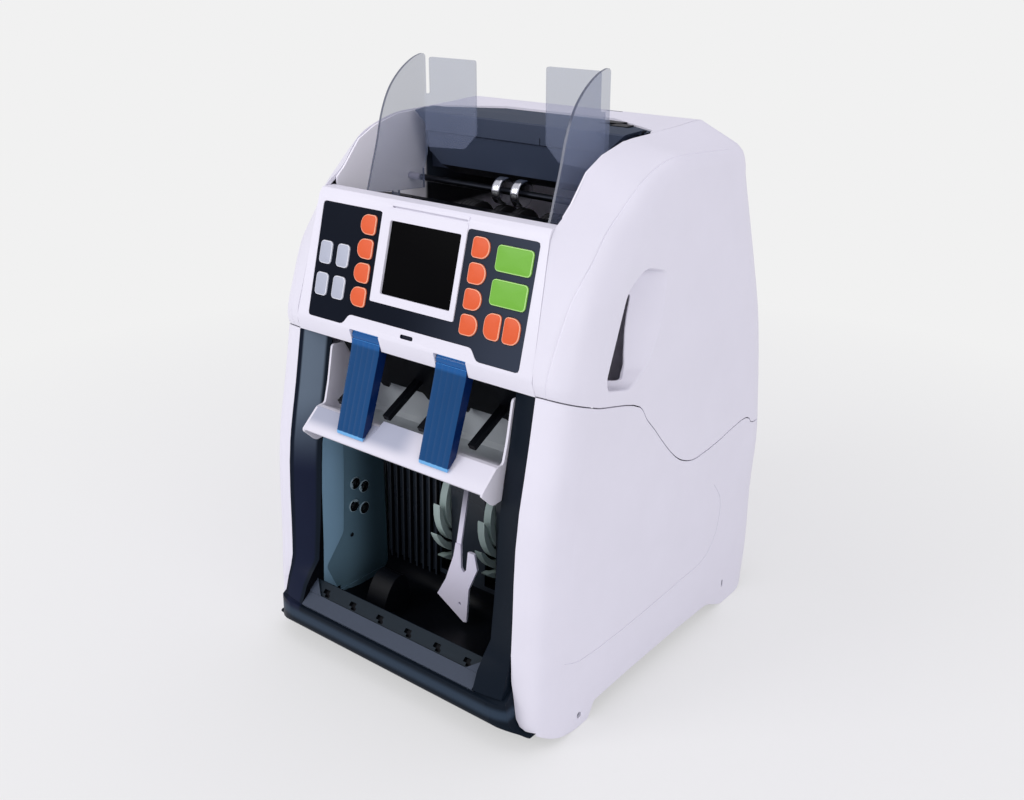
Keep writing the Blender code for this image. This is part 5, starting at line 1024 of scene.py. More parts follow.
# Right end of the bumper from the front, which the cover is cut to fit
NOSE_END = [(0.933, 0.0125), (0.939, 0.0165), (0.896, 0.0186), (0.863, 0.0254),
            (0.8415, 0.0403), (0.835, 0.0593), (0.826, 0.0847), (0.811, 0.1165),
            (0.8025, 0.1600)]
BUMPER_BACK = -0.401
LINE_WIDE, LINE_DEEP = 0.7 * MM, 0.4 * MM
# Recesses in the side: a screw's seat in the front lug, and a short upright slit at the rear
SCREW_AT, SCREW_RADIUS, SCREW_DEEP = (-124 * MM, 12.3 * MM), 3.0 * MM, 2.2 * MM
SLIT, SLIT_RADIUS, SLIT_DEEP = (121.6 * MM, 20 * MM, 124.4 * MM, 28 * MM), 1.2 * MM, 1.2 * MM


def nose_front(low):
    right = [(x * HALF_WIDTH, body_z(z)) for x, z in NOSE_END]
    right[0] = (right[1][0], body_z(low))
    return mirrored(right)


def lower_cover(word, side):
    cover = walled(sheet_of("lower_cover_%s_moulded" % word, lower_rows(), [], side))
    under = [tuple(p) for p in spline(places(UNDER), 3)]
    line = [tuple(p) for p in spline([(y * MM, z * MM) for y, z in LINE_MM], 5)]

    def recess(name, outline, deep):
        return prism(name, outline, side * (HALF_WIDTH - deep), side * (HALF_WIDTH + OVER),
                     across_x)

    cut(cover,
        block("trim", (-FRONT_HALF, -BODY_DEPTH, -OVER), (FRONT_HALF, 0, BODY_HEIGHT)),
        block("rear", (-CHEEK_HALF, 0, -OVER), (CHEEK_HALF, BODY_DEPTH, BODY_HEIGHT)),
        recess("under", under + [(BODY_DEPTH, -OVER), (-BODY_DEPTH, -OVER)],
               2 * HALF_WIDTH + OVER),
        prism("nose", grow(nose_front(-NOSE_SHARE), FIT * 2), -BODY_DEPTH,
              body_y(BUMPER_BACK) + FIT, across_y),
        recess("line", strip(line, LINE_WIDE), LINE_DEEP),
        recess("screw", circle(*SCREW_AT, SCREW_RADIUS, 24), SCREW_DEEP),
        recess("slit", soften(oblong(*SLIT), SLIT_RADIUS), SLIT_DEEP))

    def sunk(c, n):
        """The floors of the screw's seat and of the slit, painted slate as painted shade."""
        at_screw = math.hypot(c.y - SCREW_AT[0], c.z - SCREW_AT[1]) < SCREW_RADIUS + 0.5 * MM
        at_slit = abs(2 * c.y - SLIT[0] - SLIT[2]) < 4 * MM \
            and abs(2 * c.z - SLIT[1] - SLIT[3]) < 10 * MM
        return abs(n.x) > 0.9 and abs(c.x) < HALF_WIDTH - LINE_DEEP * 1.25 \
            and (at_screw or at_slit)

    paint(cover, [ABS_WHITE, ABS_SLATE], sunk)
    finished(cover, "lower_cover_" + word, "white_plastic", 0.35)


for word, side in SIDES:
    lower_cover(word, side)

# %% [markdown]
# ## Top and rear cover
# The plate behind the hopper turns down into the back of the upper half in one sheet, so it
# is a strip that follows the same curve as the side covers' edges. Its front edge is cut to
# the hopper's six-sided mouth, and two thin slots go right through it into the dark inside.

# %% The top and rear cover
HOPPER_MOUTH = [(-130 * MM, -10 * MM), (-118 * MM, 26 * MM), (-60 * MM, 57 * MM),
                (60 * MM, 57 * MM), (118 * MM, 26 * MM), (130 * MM, -10 * MM)]
# Left, front, right and rear edge of each slot, in mm
TOP_SLOTS = [(-29, 92, 24, 95), (29, 88, 47, 90.5)]
PLATE_LOW, PLATE_HIGH, PLATE_FRONT, TURN_FRONT = body_z(0.90), body_z(1.05), 0.031, 0.060


def top_cover():
    path = [(body_y(PLATE_FRONT), body_z(0.995))]
    path += [(body_y(s[0]), body_z(s[1])) for s in spline(UPPER_EDGE, 4) if s[0] > TURN_FRONT]
    path[-1] = (path[-1][0], seam_z(path[-1][0]) + SEAM_GAP / 2)
    cover = prism("top_rear_cover_moulded", strip(path, SHELL_WALL), -CHEEK_HALF + FIT,
                  CHEEK_HALF - FIT, across_x)
    slots = [prism("slot", [(u * MM, v * MM) for u, v in oblong(*slot)], PLATE_LOW,
                   PLATE_HIGH, across_z) for slot in TOP_SLOTS]
    cut(cover, prism("mouth", HOPPER_MOUTH, PLATE_LOW, PLATE_HIGH, across_z), *slots)
    finished(cover, "top_rear_cover", "white_plastic", 0.5)
    # The walls of the two slots take black ABS as painted shade
    paint(cover, [ABS_WHITE, ABS_BLACK], lambda c, n: abs(n.z) < 0.5
          and -30 * MM < c.x < 48 * MM and 87 * MM < c.y < 96 * MM)


top_cover()

# %% [markdown]
# ## Control panel
# The panel's housing is one white moulding that leans back. A low rim stands round the
# screen, a grooved lip runs along the top edge above it, a small tab sits beside the lip, and
# a slot for a plug shows under the screen. The CAD shape is kept: these forms are added to a
# copy of it. The navy film lies flush in its recess, and the screen a millimetre lower.

# %% Panel housing
# Left, lower, right and upper edge of each form along the panel, in metres
RIM, WINDOW = (-0.0462, 0.0253, 0.0462, 0.1030), (-0.036, 0.033, 0.041, 0.094)
LIP, TAB = (-0.037, 0.1030, 0.046, 0.1086), (0.050, 0.1020, 0.066, 0.1078)
PORT, LIP_GROOVE = (-0.007, 0.00125, 0.007, 0.00475), (-0.036, 0.1044, 0.045, 0.1059)
PORT_DEEP, GROOVE_FLOOR = 1.4 * MM, 1.6 * MM


def panel_form(name, edges, radius, back, front):
    return prism(name, soften(oblong(*edges), radius * MM), back, front, on_panel)


def panel_housing():
    rim = panel_form("rim", RIM, 1.6, -1.2 * MM, 0.9 * MM)
    cut(rim, panel_form("window", WINDOW, 1.5, -OVER, OVER))
    housing = join(clean_copy("panel_housing"), rim,
                   panel_form("lip", LIP, 1.5, -3.5 * MM, 0.6 * MM),
                   panel_form("tab", TAB, 1.8, -9 * MM, -5 * MM))
    cut(housing, panel_form("port", PORT, 1.7, -PORT_DEEP, OVER),
        prism("groove", oblong(*LIP_GROOVE), -GROOVE_FLOOR, OVER, on_panel))
    floor = on_panel(0, 3 * MM, -PORT_DEEP)
    # The plug slot's floor and walls take navy ABS as painted shade
    paint(housing, [ABS_WHITE, ABS_NAVY],
          lambda c, n: (c - floor).length < 8 * MM and (c - floor).dot(PANEL_OUT) < 1.2 * MM)
    finished(housing, "panel_housing", "white_plastic", 0.6, 3, 35)


panel_housing()

# %% [markdown]
# ## Keys
# The keys are moulded caps with a slightly domed top and a rim painted paler as painted light.
# Rings of the key's outline, each a little higher or a little further in, make the skirt, the
# rim and the dome, and the rim's rings take a second, paler material.

# %% Sixteen key caps
LARGE, SMALL = 7.8 * MM, 3.6 * MM
ROUND_KEY, TALL_KEY = (17.5 * MM, 16.8 * MM), (16.0 * MM, 21.0 * MM)
GREEN_KEY, GREY_KEY = (35.0 * MM, 20.5 * MM), (14.2 * MM, 19.8 * MM)
KEYS = {}
for word, x, left, right in (("left", -60.2, LARGE, SMALL), ("right", 62.2, SMALL, LARGE)):
    for k in range(4):
        KEYS["key_orange_%s_%d" % (word, k + 1)] = (x, 86.8 - 20.3 * k, ROUND_KEY, left, right)
for name, up in (("key_green_upper", 82.2), ("key_green_lower", 56.0)):
    KEYS[name] = (96.0, up, GREEN_KEY, SMALL, SMALL)
KEYS["key_orange_tall_left"] = (85.3, 29.5, TALL_KEY, LARGE, SMALL)
KEYS["key_orange_tall_right"] = (104.6, 29.5, TALL_KEY, SMALL, LARGE)
for k, (x, up) in enumerate(((-105.5, 56.5), (-84.8, 56.5), (-105.5, 29.0), (-84.8, 29.0))):
    KEYS["key_grey_%d" % (k + 1)] = (x, up, GREY_KEY, SMALL, SMALL)
# Height and inset in mm of the skirt and the rim, then share of the face and its height.
# The rings from KEY_LIGHT_FROM to KEY_LIGHT_TO make the rim with its painted light.
KEY_RINGS = [(-1.7, 0.0), (0.5, 0.0), (1.0, 0.12), (1.3, 0.4), (1.35, 0.75), (1.2, 1.0)]
KEY_DOME = [(0.96, 1.24), (0.85, 1.42), (0.65, 1.62), (0.4, 1.75), (0.15, 1.8)]
KEY_LIGHT_FROM, KEY_LIGHT_TO, CORNER_PARTS = 1, 4, 7


def key_outline(x, up, size, left_radius, right_radius, inset):
    outline = []
    for across, high, start in ((1, -1, -90), (1, 1, 0), (-1, 1, 90), (-1, -1, 180)):
        radius = right_radius if across > 0 else left_radius
        centre = (x + across * (size[0] / 2 - radius), up + high * (size[1] / 2 - radius))
        for step in range(CORNER_PARTS + 1):
            angle = math.radians(start + 90 * step / CORNER_PARTS)
            outline.append((centre[0] + (radius - inset) * math.cos(angle),
                            centre[1] + (radius - inset) * math.sin(angle)))
    return outline


def key_cap(name):
    x, up, size, left, right = KEYS[name]
    x, up = x * MM, up * MM
    rings = [[on_panel(u, v, w * MM)
              for u, v in key_outline(x, up, size, left, right, inset * MM)]
             for w, inset in KEY_RINGS]
    face = key_outline(x, up, size, left, right, KEY_RINGS[-1][1] * MM)
    rings += [[on_panel(x + (u - x) * share, up + (v - up) * share, w * MM) for u, v in face]
              for share, w in KEY_DOME]
    cap = loft(name + "_cap", rings)
    word = name.split("_")[1]
    for material in KEY_FINISH[word]:
        cap.data.materials.append(material)
    for index, polygon in enumerate(cap.data.polygons):
        row = (index - 2) // len(face)
        polygon.material_index = int(index > 1 and KEY_LIGHT_FROM <= row < KEY_LIGHT_TO)
    finish_mesh(cap, 40)
    HAND_MADE.add(name)
    stand_for(cap, name)


for name in KEYS:
    key_cap(name)

# %% [markdown]
# ## Stoppers
# Two clear blue acrylic stoppers hang from the panel and hold the rejected notes back. Each
# is a channel with a solid front, fine upright ribs moulded into it and a knuckle at the
# top. The body is lofted across its width, and between two ribs the front points draw in.

# %% Two ribbed stoppers
STOPPER = [(-0.4130, 0.6330), (-0.4180, 0.6170), (-0.4800, 0.4700), (-0.4785, 0.4645),
           (-0.4490, 0.4850), (-0.3880, 0.6210), (-0.3870, 0.6330)]
STOPPER_AXIS = (body_y(-0.4000), body_z(0.6395))
STOPPER_CENTRE, STOPPER_HALF, STOPPER_WALL, DRAFT = 0.048, 0.0165, 0.0022, 0.001
RIBS, RIB_PROUD, RIB_ROUND, ACROSS = 5, 0.45 * MM, 0.7, 60
KNUCKLE_RADIUS, KNUCKLE_CHAMFER, FOOT_BAND = 5 * MM, 0.6 * MM, 1.6 * MM


def ribbed_rings(side):
    """Side views of the stopper, from one of its sides to the other."""
    outline = places(STOPPER)
    low, high = min(z for _, z in outline), max(z for _, z in outline)
    rings = []
    for k in range(ACROSS + 1):
        e = 2 * k / ACROSS - 1
        valley = RIB_PROUD * (1 - abs(math.cos(math.pi * RIBS * e / 2)) ** RIB_ROUND)
        ring = []
        for index, (y, z) in enumerate(outline):
            x = side * STOPPER_CENTRE + e * (STOPPER_HALF - DRAFT * (high - z) / (high - low))
            inwards = valley if index in (1, 2) else 0
            ring.append((x, y + inwards * 0.92, z - inwards * 0.38))
        rings.append(ring)
    return rings


def stopper(word, side):
    outline, centre = places(STOPPER), side * STOPPER_CENTRE
    knuckle = [(centre + x, radius) for x, radius in
               ((-STOPPER_HALF, KNUCKLE_RADIUS - KNUCKLE_CHAMFER),
                (-STOPPER_HALF + KNUCKLE_CHAMFER, KNUCKLE_RADIUS),
                (STOPPER_HALF - KNUCKLE_CHAMFER, KNUCKLE_RADIUS),
                (STOPPER_HALF, KNUCKLE_RADIUS - KNUCKLE_CHAMFER))]
    body = join(loft("stopper_%s_moulded" % word, ribbed_rings(side)),
                turned("knuckle", knuckle, STOPPER_AXIS))
    (front_y_high, front_high), (front_y_low, front_low) = outline[1:3]
    (heel_y, heel), (back_y, back_high) = outline[3], outline[5]
    channel = [(front_y_high + STOPPER_WALL, front_high),
               (front_y_low + STOPPER_WALL, front_low + STOPPER_WALL),
               (heel_y + OVER + STOPPER_WALL, heel + STOPPER_WALL),
               (back_y + OVER + STOPPER_WALL, back_high)]
    hollow = STOPPER_HALF - STOPPER_WALL * 1.5
    cut(body, prism("channel", channel, centre - hollow, centre + hollow, across_x))
    finished(body, "stopper_" + word, "blue_clear", 0.4, 2, 50)

    def which(c, n):
        """Painted highlight under the foot and on the knuckle, painted shade on the sides."""
        under_foot = c.z < heel + FOOT_BAND and n.z < 0 and n.y > -0.9
        on_knuckle = n.z > 0.75 and abs(n.x) < 0.2
        return 2 if under_foot or on_knuckle else int(abs(n.x) > 0.8)

    paint(body, [BLUE_CLEAR, BLUE_SIDE_PAINTED_SHADE, BLUE_EDGE_PAINTED_HIGHLIGHT], which)


for word, side in SIDES:
    stopper(word, side)

# %% [markdown]
# ## Hopper guides
# The clear guides are cut and bent from polycarbonate sheet: a side wing with a curved front
# edge and a back flap beside it, joined below a slot, on a foot that runs under the hopper's
# floor. Cut edges look darker than the sheet, so they take a second material. The sheet lets
# the light through, so it throws no shadow on the hopper.

# %% Two clear guides
GUIDE = [(-0.2570, 0.8660), (-0.2500, 0.8770), (-0.2330, 0.9160), (-0.2160, 0.9540),
         (-0.1990, 1.0010), (-0.1810, 1.0330), (-0.1620, 1.0550), (-0.1300, 1.0780),
         (-0.0960, 1.0940), (-0.0720, 1.1010), (-0.0520, 1.1030), (-0.0455, 1.0980)]
GUIDE_REST = [(-0.0455, 0.9200), (-0.0600, 0.8900), (-0.0600, 0.8520)]
GUIDE_HALF, GUIDE_SIDE, FLAP_INNER, FLAP_THICK = 0.100, 0.0025, 0.038, 0.0025
FLAP_SLOT, FLAP_CLIP, FLAP_CORNER, FLAP_TOP = 0.006, 0.014, 0.0025, 1.0975
FLOOR_LINE = [(-0.2896, 0.8587), (-0.1600, 0.8500), (-0.1043, 0.8430)]
FLOOR_SHEET, GUIDE_FOOT, FOOT_SHEET = 2.5 * MM, 6 * MM, 3 * MM


def hopper_guide(word, side):
    outer, inner = GUIDE_HALF, GUIDE_HALF - GUIDE_SIDE
    middle = (outer + inner) / 2
    curve = [tuple(p) for p in spline(places(GUIDE), 4)] + places(GUIDE_REST)
    guide = prism("hopper_guide_%s_cut" % word, curve, side * inner, side * outer, across_x)
    back = body_y(GUIDE[-1][0])
    flap = [(middle, body_z(0.9300)), (FLAP_INNER + FLAP_CLIP, body_z(0.9350)),
            (FLAP_INNER, body_z(0.9640)), (FLAP_INNER, body_z(FLAP_TOP)),
            (inner - FLAP_SLOT, body_z(FLAP_TOP)), (inner - FLAP_SLOT, body_z(1.0300)),
            (middle, body_z(1.0300))]
    # The two corners inside the wing stay sharp
    flap = flap[:1] + soften(flap, FLAP_CORNER, 4)[6:-6] + flap[-1:]
    plate = prism("flap", [(side * x, z) for x, z in flap], back - FLAP_THICK, back - FIT,
                  across_y)
    near, far = body_y(-0.1700), body_y(-0.1480)
    low_x, high_x = sorted((side * inner, side * outer))
    under = read_line(places(FLOOR_LINE), far + GUIDE_FOOT) - FLOOR_SHEET - FIT * 2
    tab = block("tab", (low_x, near, body_z(0.822)), (high_x, far, body_z(0.8660) + 2 * MM))
    foot = block("foot", (low_x - GUIDE_FOOT, near, under - FOOT_SHEET),
                 (high_x + GUIDE_FOOT, far + GUIDE_FOOT, under - FIT))
    join(guide, plate, tab, foot)
    finished(guide, "hopper_guide_" + word, "clear_plastic", 0.4)
    paint(guide, [CLEAR, CLEAR_EDGE], lambda c, n: abs(n.x) < 0.6
          and abs(abs(c.x) - middle) < GUIDE_SIDE * 0.51 and c.y < back - 4 * MM)
    guide.visible_shadow = guide.visible_diffuse = False


for word, side in SIDES:
    hopper_guide(word, side)

# %% [markdown]
# ## Rollers
# The separation rollers are ground steel barrels on a blackened shaft. The feed rollers under
# them are rubber tyres with shallow grooves, on a shaft of their own. Each set is one turned
# profile that runs along its shaft and up and down over its rollers.

# %% Rollers and their shafts
FEED_AXIS = (body_y(-0.0400), body_z(0.7946))
SEPARATION_AXIS = (FEED_AXIS[0] - 1.05 * MM, FEED_AXIS[1] + 34.64 * MM)
SHAFT_END = CHEEK_HALF - FIT * 2 + 1.3 * MM
BARREL_STEPS, TYRE_GROOVE = 48, 0.5 * MM
# Middle, width and number of grooves of each tyre, in mm
TYRES = [(-45, 16, 4), (-10.5, 9, 2), (10.5, 9, 2), (45, 16, 4)]


def barrel(x, radius, wide, crown, grooves=0):
    """Profile of a roller with rounded shoulders, a crown and grooves round it."""
    profile = []
    for k in range(BARREL_STEPS + 1):
        e = 2 * k / BARREL_STEPS - 1
        shoulder = (1 - abs(e) ** 6) ** 0.5
        groove = TYRE_GROOVE * (math.cos(math.pi * grooves * (e + 1)) < -0.6)
        profile.append((x + e * wide / 2, radius - crown * (1 - shoulder) - groove))
    return profile


def roller_set(node, axis, shaft_radius, rollers, slot_name, finish):
    profile = [(-SHAFT_END, shaft_radius)]
    for roller in rollers:
        made = barrel(*roller)
        profile += [(made[0][0], shaft_radius)] + made + [(made[-1][0], shaft_radius)]
    piece = turned(node + "_turned", profile + [(SHAFT_END, shaft_radius)], axis)
    paint(piece, [finish, STEEL_DARK],
          lambda c, n: math.hypot(c.y - axis[0], c.z - axis[1]) < shaft_radius * 1.05)
    finished(piece, node, slot_name)


roller_set("separation_rollers", SEPARATION_AXIS, 3 * MM,
           [(side * 10.5 * MM, 12 * MM, 9 * MM, 2.6 * MM) for _, side in SIDES],
           "bright_steel", BRIGHT)
roller_set("feed_rollers", FEED_AXIS, 4 * MM,
           [(x * MM, 21.5 * MM, wide * MM, 1.0 * MM, grooves) for x, wide, grooves in TYRES],
           "rubber", RUBBER)

# %% [markdown]
# ## Stacker wheels
# Two wheels with curved rubber blades catch the notes between their blades and lay them down
# in the pocket. One blade is drawn from a short table of its width, and Geometry Nodes turns
# copies of it round the shaft: a line of points at the centre carries the copies, and each
# is turned by its index. The same tree, with a step instead of a turn, sets out the ribs of
# the pocket and the notches of the sill.

# %% A tree that repeats a shape


def repeat_tree():
    """Geometry Nodes tree with inputs Count, Step, Turn, Centre and Finish."""
    tree = bpy.data.node_groups.new("repeat_shape", "GeometryNodeTree")
    face = tree.interface
    face.new_socket("Geometry", in_out="OUTPUT", socket_type="NodeSocketGeometry")
    for name, kind in (("Geometry", "Geometry"), ("Count", "Int"), ("Step", "Vector"),
                       ("Turn", "Vector"), ("Centre", "Vector"), ("Finish", "Material")):
        face.new_socket(name, in_out="INPUT", socket_type="NodeSocket" + kind)
    start = add(tree, "NodeGroupInput")
    line = add(tree, "GeometryNodeMeshLine", {"Count": start.outputs["Count"],
                                              "Offset": start.outputs["Step"],
                                              "Start Location": start.outputs["Centre"]})
    index = add(tree, "GeometryNodeInputIndex")
    angles = add(tree, "ShaderNodeVectorMath", {0: start.outputs["Turn"],
                                                "Scale": index.outputs[0]},
                 operation="SCALE")
    copies = add(tree, "GeometryNodeInstanceOnPoints", {"Points": line.outputs["Mesh"],
                                                        "Instance": start.outputs["Geometry"],
                                                        "Rotation": angles.outputs[0]})
    real = add(tree, "GeometryNodeRealizeInstances", {"Geometry": copies.outputs[0]})
    painted = add(tree, "GeometryNodeSetMaterial", {"Geometry": real.outputs[0],
                                                    "Material": start.outputs["Finish"]})
    add(tree, "NodeGroupOutput", {"Geometry": painted.outputs[0]})
    return tree


REPEAT = repeat_tree()
INPUT = {item.name: item.identifier for item in REPEAT.interface.items_tree
         if item.in_out == "INPUT"}


def repeated(piece, **values):
    """Copies of a piece's mesh, which is modelled about the origin, as one plain mesh."""
    step = piece.modifiers.new("Repeat", "NODES")
    step.node_group = REPEAT
    for name, value in values.items():
        step[INPUT[name]] = value
    return apply_modifiers(piece)


print("inputs of the tree:", sorted(INPUT))

# %% [markdown]
# ## Blades on a sleeve
# A real wheel of this kind is moulded in one piece, so that a note can't catch in a joint. The
# blades start inside the hub for the same reason, and the sleeve between the two wheels is
# turned in one profile with both hubs, bored through for the shaft.

# %% The bladed wheels
WHEEL_AXIS = (body_y(-0.107), body_z(0.216))
WHEEL_CENTRE, WHEEL_WIDE, WHEEL_RADIUS, WHEEL_HUB = 0.027, 0.008, 0.060, 0.018
WHEEL_SLEEVE, WHEEL_BORE = 7 * MM, 4.3 * MM
BLADES, BLADE_SWEEP, BLADE_ROOT, BLADE_STEPS = 13, math.radians(-92), 0.0162, 16
# Share of the way out to the rim, and width of the blade as a share of its place there
BLADE = [(0, 0.20), (0.2, 0.34), (0.45, 0.62), (0.7, 0.70), (0.88, 0.50), (1, 0.07)]


def blade_outline():
    """Curved blade from inside the hub to the rim, widest past its middle."""
    front, back = [], []
    for k in range(BLADE_STEPS + 1):
        share = k / BLADE_STEPS
        radius = BLADE_ROOT + (WHEEL_RADIUS - BLADE_ROOT) * share
        angle = BLADE_SWEEP * share ** 1.5
        wide = read_line(BLADE, share) * 2 * math.pi / BLADES
        front.append((math.cos(angle) * radius, math.sin(angle) * radius))
        back.append((math.cos(angle - wide) * radius, math.sin(angle - wide) * radius))
    return front + back[::-1]


def stacker_wheels():
    near, far = WHEEL_CENTRE - WHEEL_WIDE / 2, WHEEL_CENTRE + WHEEL_WIDE / 2
    right = [(near, WHEEL_SLEEVE), (near, WHEEL_HUB - MM), (near + MM, WHEEL_HUB),
             (far - MM, WHEEL_HUB), (far, WHEEL_HUB - MM)]
    wheels = turned("stacker_wheels_moulded", [(-x, r) for x, r in reversed(right)] + right,
                    WHEEL_AXIS)
    cut(wheels, turned("bore", [(-far - OVER, WHEEL_BORE), (far + OVER, WHEEL_BORE)],
                       WHEEL_AXIS))
    blades = []
    for side in (-1, 1):
        blade = prism("blade", blade_outline(), side * near, side * far, across_x)
        round_edges(blade, 0.35, 40, 2)
        blades.append(repeated(blade, Count=BLADES, Turn=(2 * math.pi / BLADES, 0, 0),
                               Centre=(0, *WHEEL_AXIS), Finish=BLADE_RUBBER))
    edited(wheels.data, lambda shape: [shape.from_mesh(piece.data) for piece in blades])
    for piece in blades:
        bpy.data.objects.remove(piece, do_unlink=True)
    paint(wheels, [BLADE_RUBBER], lambda c, n: 0)
    finished(wheels, "stacker_wheels", "blade_rubber")


stacker_wheels()

# %% [markdown]
# ## Front frame
# One dark moulding makes both columns and the bumper under the pocket. The columns are lofted
# up the body's front line: their inner edge lies deeper than the outer one, and near the foot
# they sweep forward into the bumper. The bumper is a bar across the front, trimmed by a front
# view and a plan view with rounded ends.

# %% Front frame
SILL_BACK, SILL_FRONT = (-0.4733, 0.1208), (-0.5334, 0.0854)
SILL_THICK, SILL_NOTCHES, SILL_PITCH = 4 * MM, 6, 34.4 * MM
BUMPER = [(-0.5322, 0.0764), (-0.5340, 0.0752), (-0.5350, 0.0722), (-0.5350, 0.0400),
          (-0.5340, 0.0345), (-0.5305, 0.0300), (-0.4973, 0.0148), (-0.4900, 0.0127),
          (-0.4010, 0.0127), (-0.4010, 0.0670), (-0.4607, 0.0763), (-0.4607, 0.1132)]
NOSE_PLAN = [(0.700, -0.5360), (0.790, -0.5300), (0.845, -0.5190), (0.885, -0.5060),
             (0.939, -0.4915), (0.950, -0.4000)]
# Height, then depth of the inner and the outer edge; above, both follow the front line
BOOT = [(0.0720, -0.5240, -0.5147), (0.0850, -0.5240, -0.5147), (0.0855, -0.5334, -0.5227),
        (0.1186, -0.5152, -0.5094), (0.1398, -0.4947, -0.4987), (0.1631, -0.4680, -0.4904)]
# Height, and how far the inner edge stands back from the outer one in mm
COLUMN = [(0.196, 9.0), (0.230, 10.5), (0.270, 12.0), (0.314, 13.0), (0.360, 13.4),
          (0.404, 13.4), (0.460, 13.4), (0.518, 13.4), (0.570, 13.4), (0.6205, 13.4)]
COLUMN_DEEP, COLUMN_WALL, COLUMN_CROWN = 14 * MM, 5 * MM, 0.7 * MM


def sill_slope():
    """Back and front edge of the sill in the side view, its downward and outward ways."""
    top, low = (Vector(p) for p in places([SILL_BACK, SILL_FRONT]))
    down = (low - top).normalized()
    return top, low, down, Vector((down.y, -down.x))


def front_column(name, side):
    outer, inner = FRONT_HALF - FIT, POCKET_HALF
    rows = [(body_z(z), body_y(near), body_y(far)) for z, near, far in BOOT]
    rows += [(body_z(z), front_y(body_z(z)) + step * MM, front_y(body_z(z)))
             for z, step in COLUMN]
    rings = []
    for z, near, far in rows:
        back = front_y(z) + COLUMN_DEEP
        section = [(outer, far), ((outer + inner) / 2, (near + far) / 2 - COLUMN_CROWN),
                   (inner, near), (inner, back), (inner + COLUMN_WALL, back),
                   (outer, front_y(z) + COLUMN_WALL)]
        rings.append([(x * side, y, z) for x, y in section])
    return loft(name, rings)


def front_frame():
    top, low, _, out = sill_slope()
    ledge = [tuple(point - out * (SILL_THICK + FIT)) for point in (top, low)]
    moulding = prism("front_frame_moulded", ledge + places(BUMPER), -HALF_WIDTH, HALF_WIDTH,
                     across_x)
    ends = [(x * HALF_WIDTH, body_z(z)) for x, z in NOSE_END[:1] + spline(NOSE_END[1:], 4)]
    plan = [(x * HALF_WIDTH, body_y(y)) for x, y in spline(NOSE_PLAN, 4)]
    change(moulding, [prism("ends", mirrored(ends), -BODY_DEPTH, 0, across_y),
                      prism("plan", mirrored(plan), -OVER, BODY_HEIGHT, across_z)],
           "INTERSECT")
    join(moulding, front_column("column_left", -1), front_column("column_right", 1))
    # The columns' inner faces, turned into the pockets, take black ABS as painted shade
    paint(moulding, [ABS_FRAME_PAINTED_LIGHT, ABS_BLACK], lambda c, n: abs(n.x) > 0.7
          and abs(c.x) < POCKET_HALF + MM)
    finished(moulding, "front_frame", "navy_plastic", 0.9, 3, 32)


front_frame()

# %% [markdown]
# ## Sill strip
# The slate strip slopes down from the pocket to the bumper in two tiers. Its side view is
# drawn along that slope. One cutter with the notch's outline is repeated by the tree of the
# wheels, now with a step, and cuts the whole row at once.

# %% Sill strip with its row of notches
# Side view in mm, from the step between the two tiers: along the slope and out of it
TIER_STEP = [(-0.6, 0), (-0.5, -0.8), (0, -0.8), (0, 1.3)]
NOTCH = [(-3.6, -2.6), (2.2, -2.6), (2.2, -0.2), (4.2, 1.0), (4.2, 3.0), (-0.4, 3.0),
         (-0.4, 0.9), (-3.6, 0.9)]
TIER_SHARE, NOTCH_SHARE, NOTCH_SIZE, GUSSET = 0.50, 0.32, 1.25, 15 * MM


def sill_strip():
    top, low, down, out = sill_slope()
    half = POCKET_HALF - FIT
    length = (low - top).length
    tier = TIER_SHARE * length

    def on_slope(u, v, w):
        place = top + down * v + out * w
        return Vector((u, place.x, place.y))

    section = [(0, 0)] + [(tier + v * MM, w * MM) for v, w in TIER_STEP] \
        + [(length, MM), (length, -SILL_THICK), (0, -SILL_THICK)]
    sill = prism("sill_strip_moulded", [on_slope(0, v, w).yz for v, w in section], -half,
                 half, across_x)
    notch = soften([(u * MM, v * MM) for u, v in NOTCH], 0.5 * MM, 2)
    cutter = prism("notch", [(u * NOTCH_SIZE, v * NOTCH_SIZE + length * NOTCH_SHARE)
                             for u, v in notch], -2.8 * MM, 3 * MM, on_slope)
    first = -SILL_PITCH * (SILL_NOTCHES - 1) / 2
    cut(sill, repeated(cutter, Count=SILL_NOTCHES, Step=(SILL_PITCH, 0, 0),
                       Centre=(first, 0, 0), Finish=ABS_BLACK))
    gussets = [prism("gusset", [(side * half, 0), (side * (half - GUSSET), tier),
                                (side * half, tier)], -MM, 2.2 * MM, on_slope)
               for _, side in SIDES]
    join(sill, *gussets)

    def which(c, n):
        """The lower tier and the gussets, the upper tier, or the notches, painted black inside
        as painted shade.
        """
        place = Vector((c.y, c.z)) - top
        if place.dot(down) > tier - 0.2 * MM or place.dot(out) > MM:
            return 0
        return 2 if place.dot(out) < -0.3 * MM else 1

    paint(sill, [ABS_SLATE, ABS_LEDGE, ABS_BLACK], which)
    finished(sill, "sill_strip", "slate_plastic", 0.3, 2, 35)


sill_strip()

# %% [markdown]
# ## Stacker pocket
# The pocket's side walls are blue-grey mouldings with a shallow field behind a slanting fold
# and raised rims round four holes. The rims are turned rings that are joined to the wall
# before the holes are cut, so that each hole goes through both.

# %% Pocket walls
FIELD = [(-159.8, 74.7), (-135.8, 101.8), (-131.0, 160.0), (-129.0, 203.0), (-70.0, 203.0),
         (-70.0, 42.0), (-146.0, 42.0)]
FIELD_DEEP, FIELD_CORNER, WALL_THICK = 0.9 * MM, 4 * MM, 5 * MM
HOLES = places([(-0.330, 0.288), (-0.300, 0.272), (-0.338, 0.240), (-0.303, 0.224)])
HOLE_RADIUS, RIM_RADIUS = 3.9 * MM, 6.4 * MM
DIMPLE_AT, DIMPLE_RADIUS = (-124.6 * MM, 93.7 * MM), 2.2 * MM


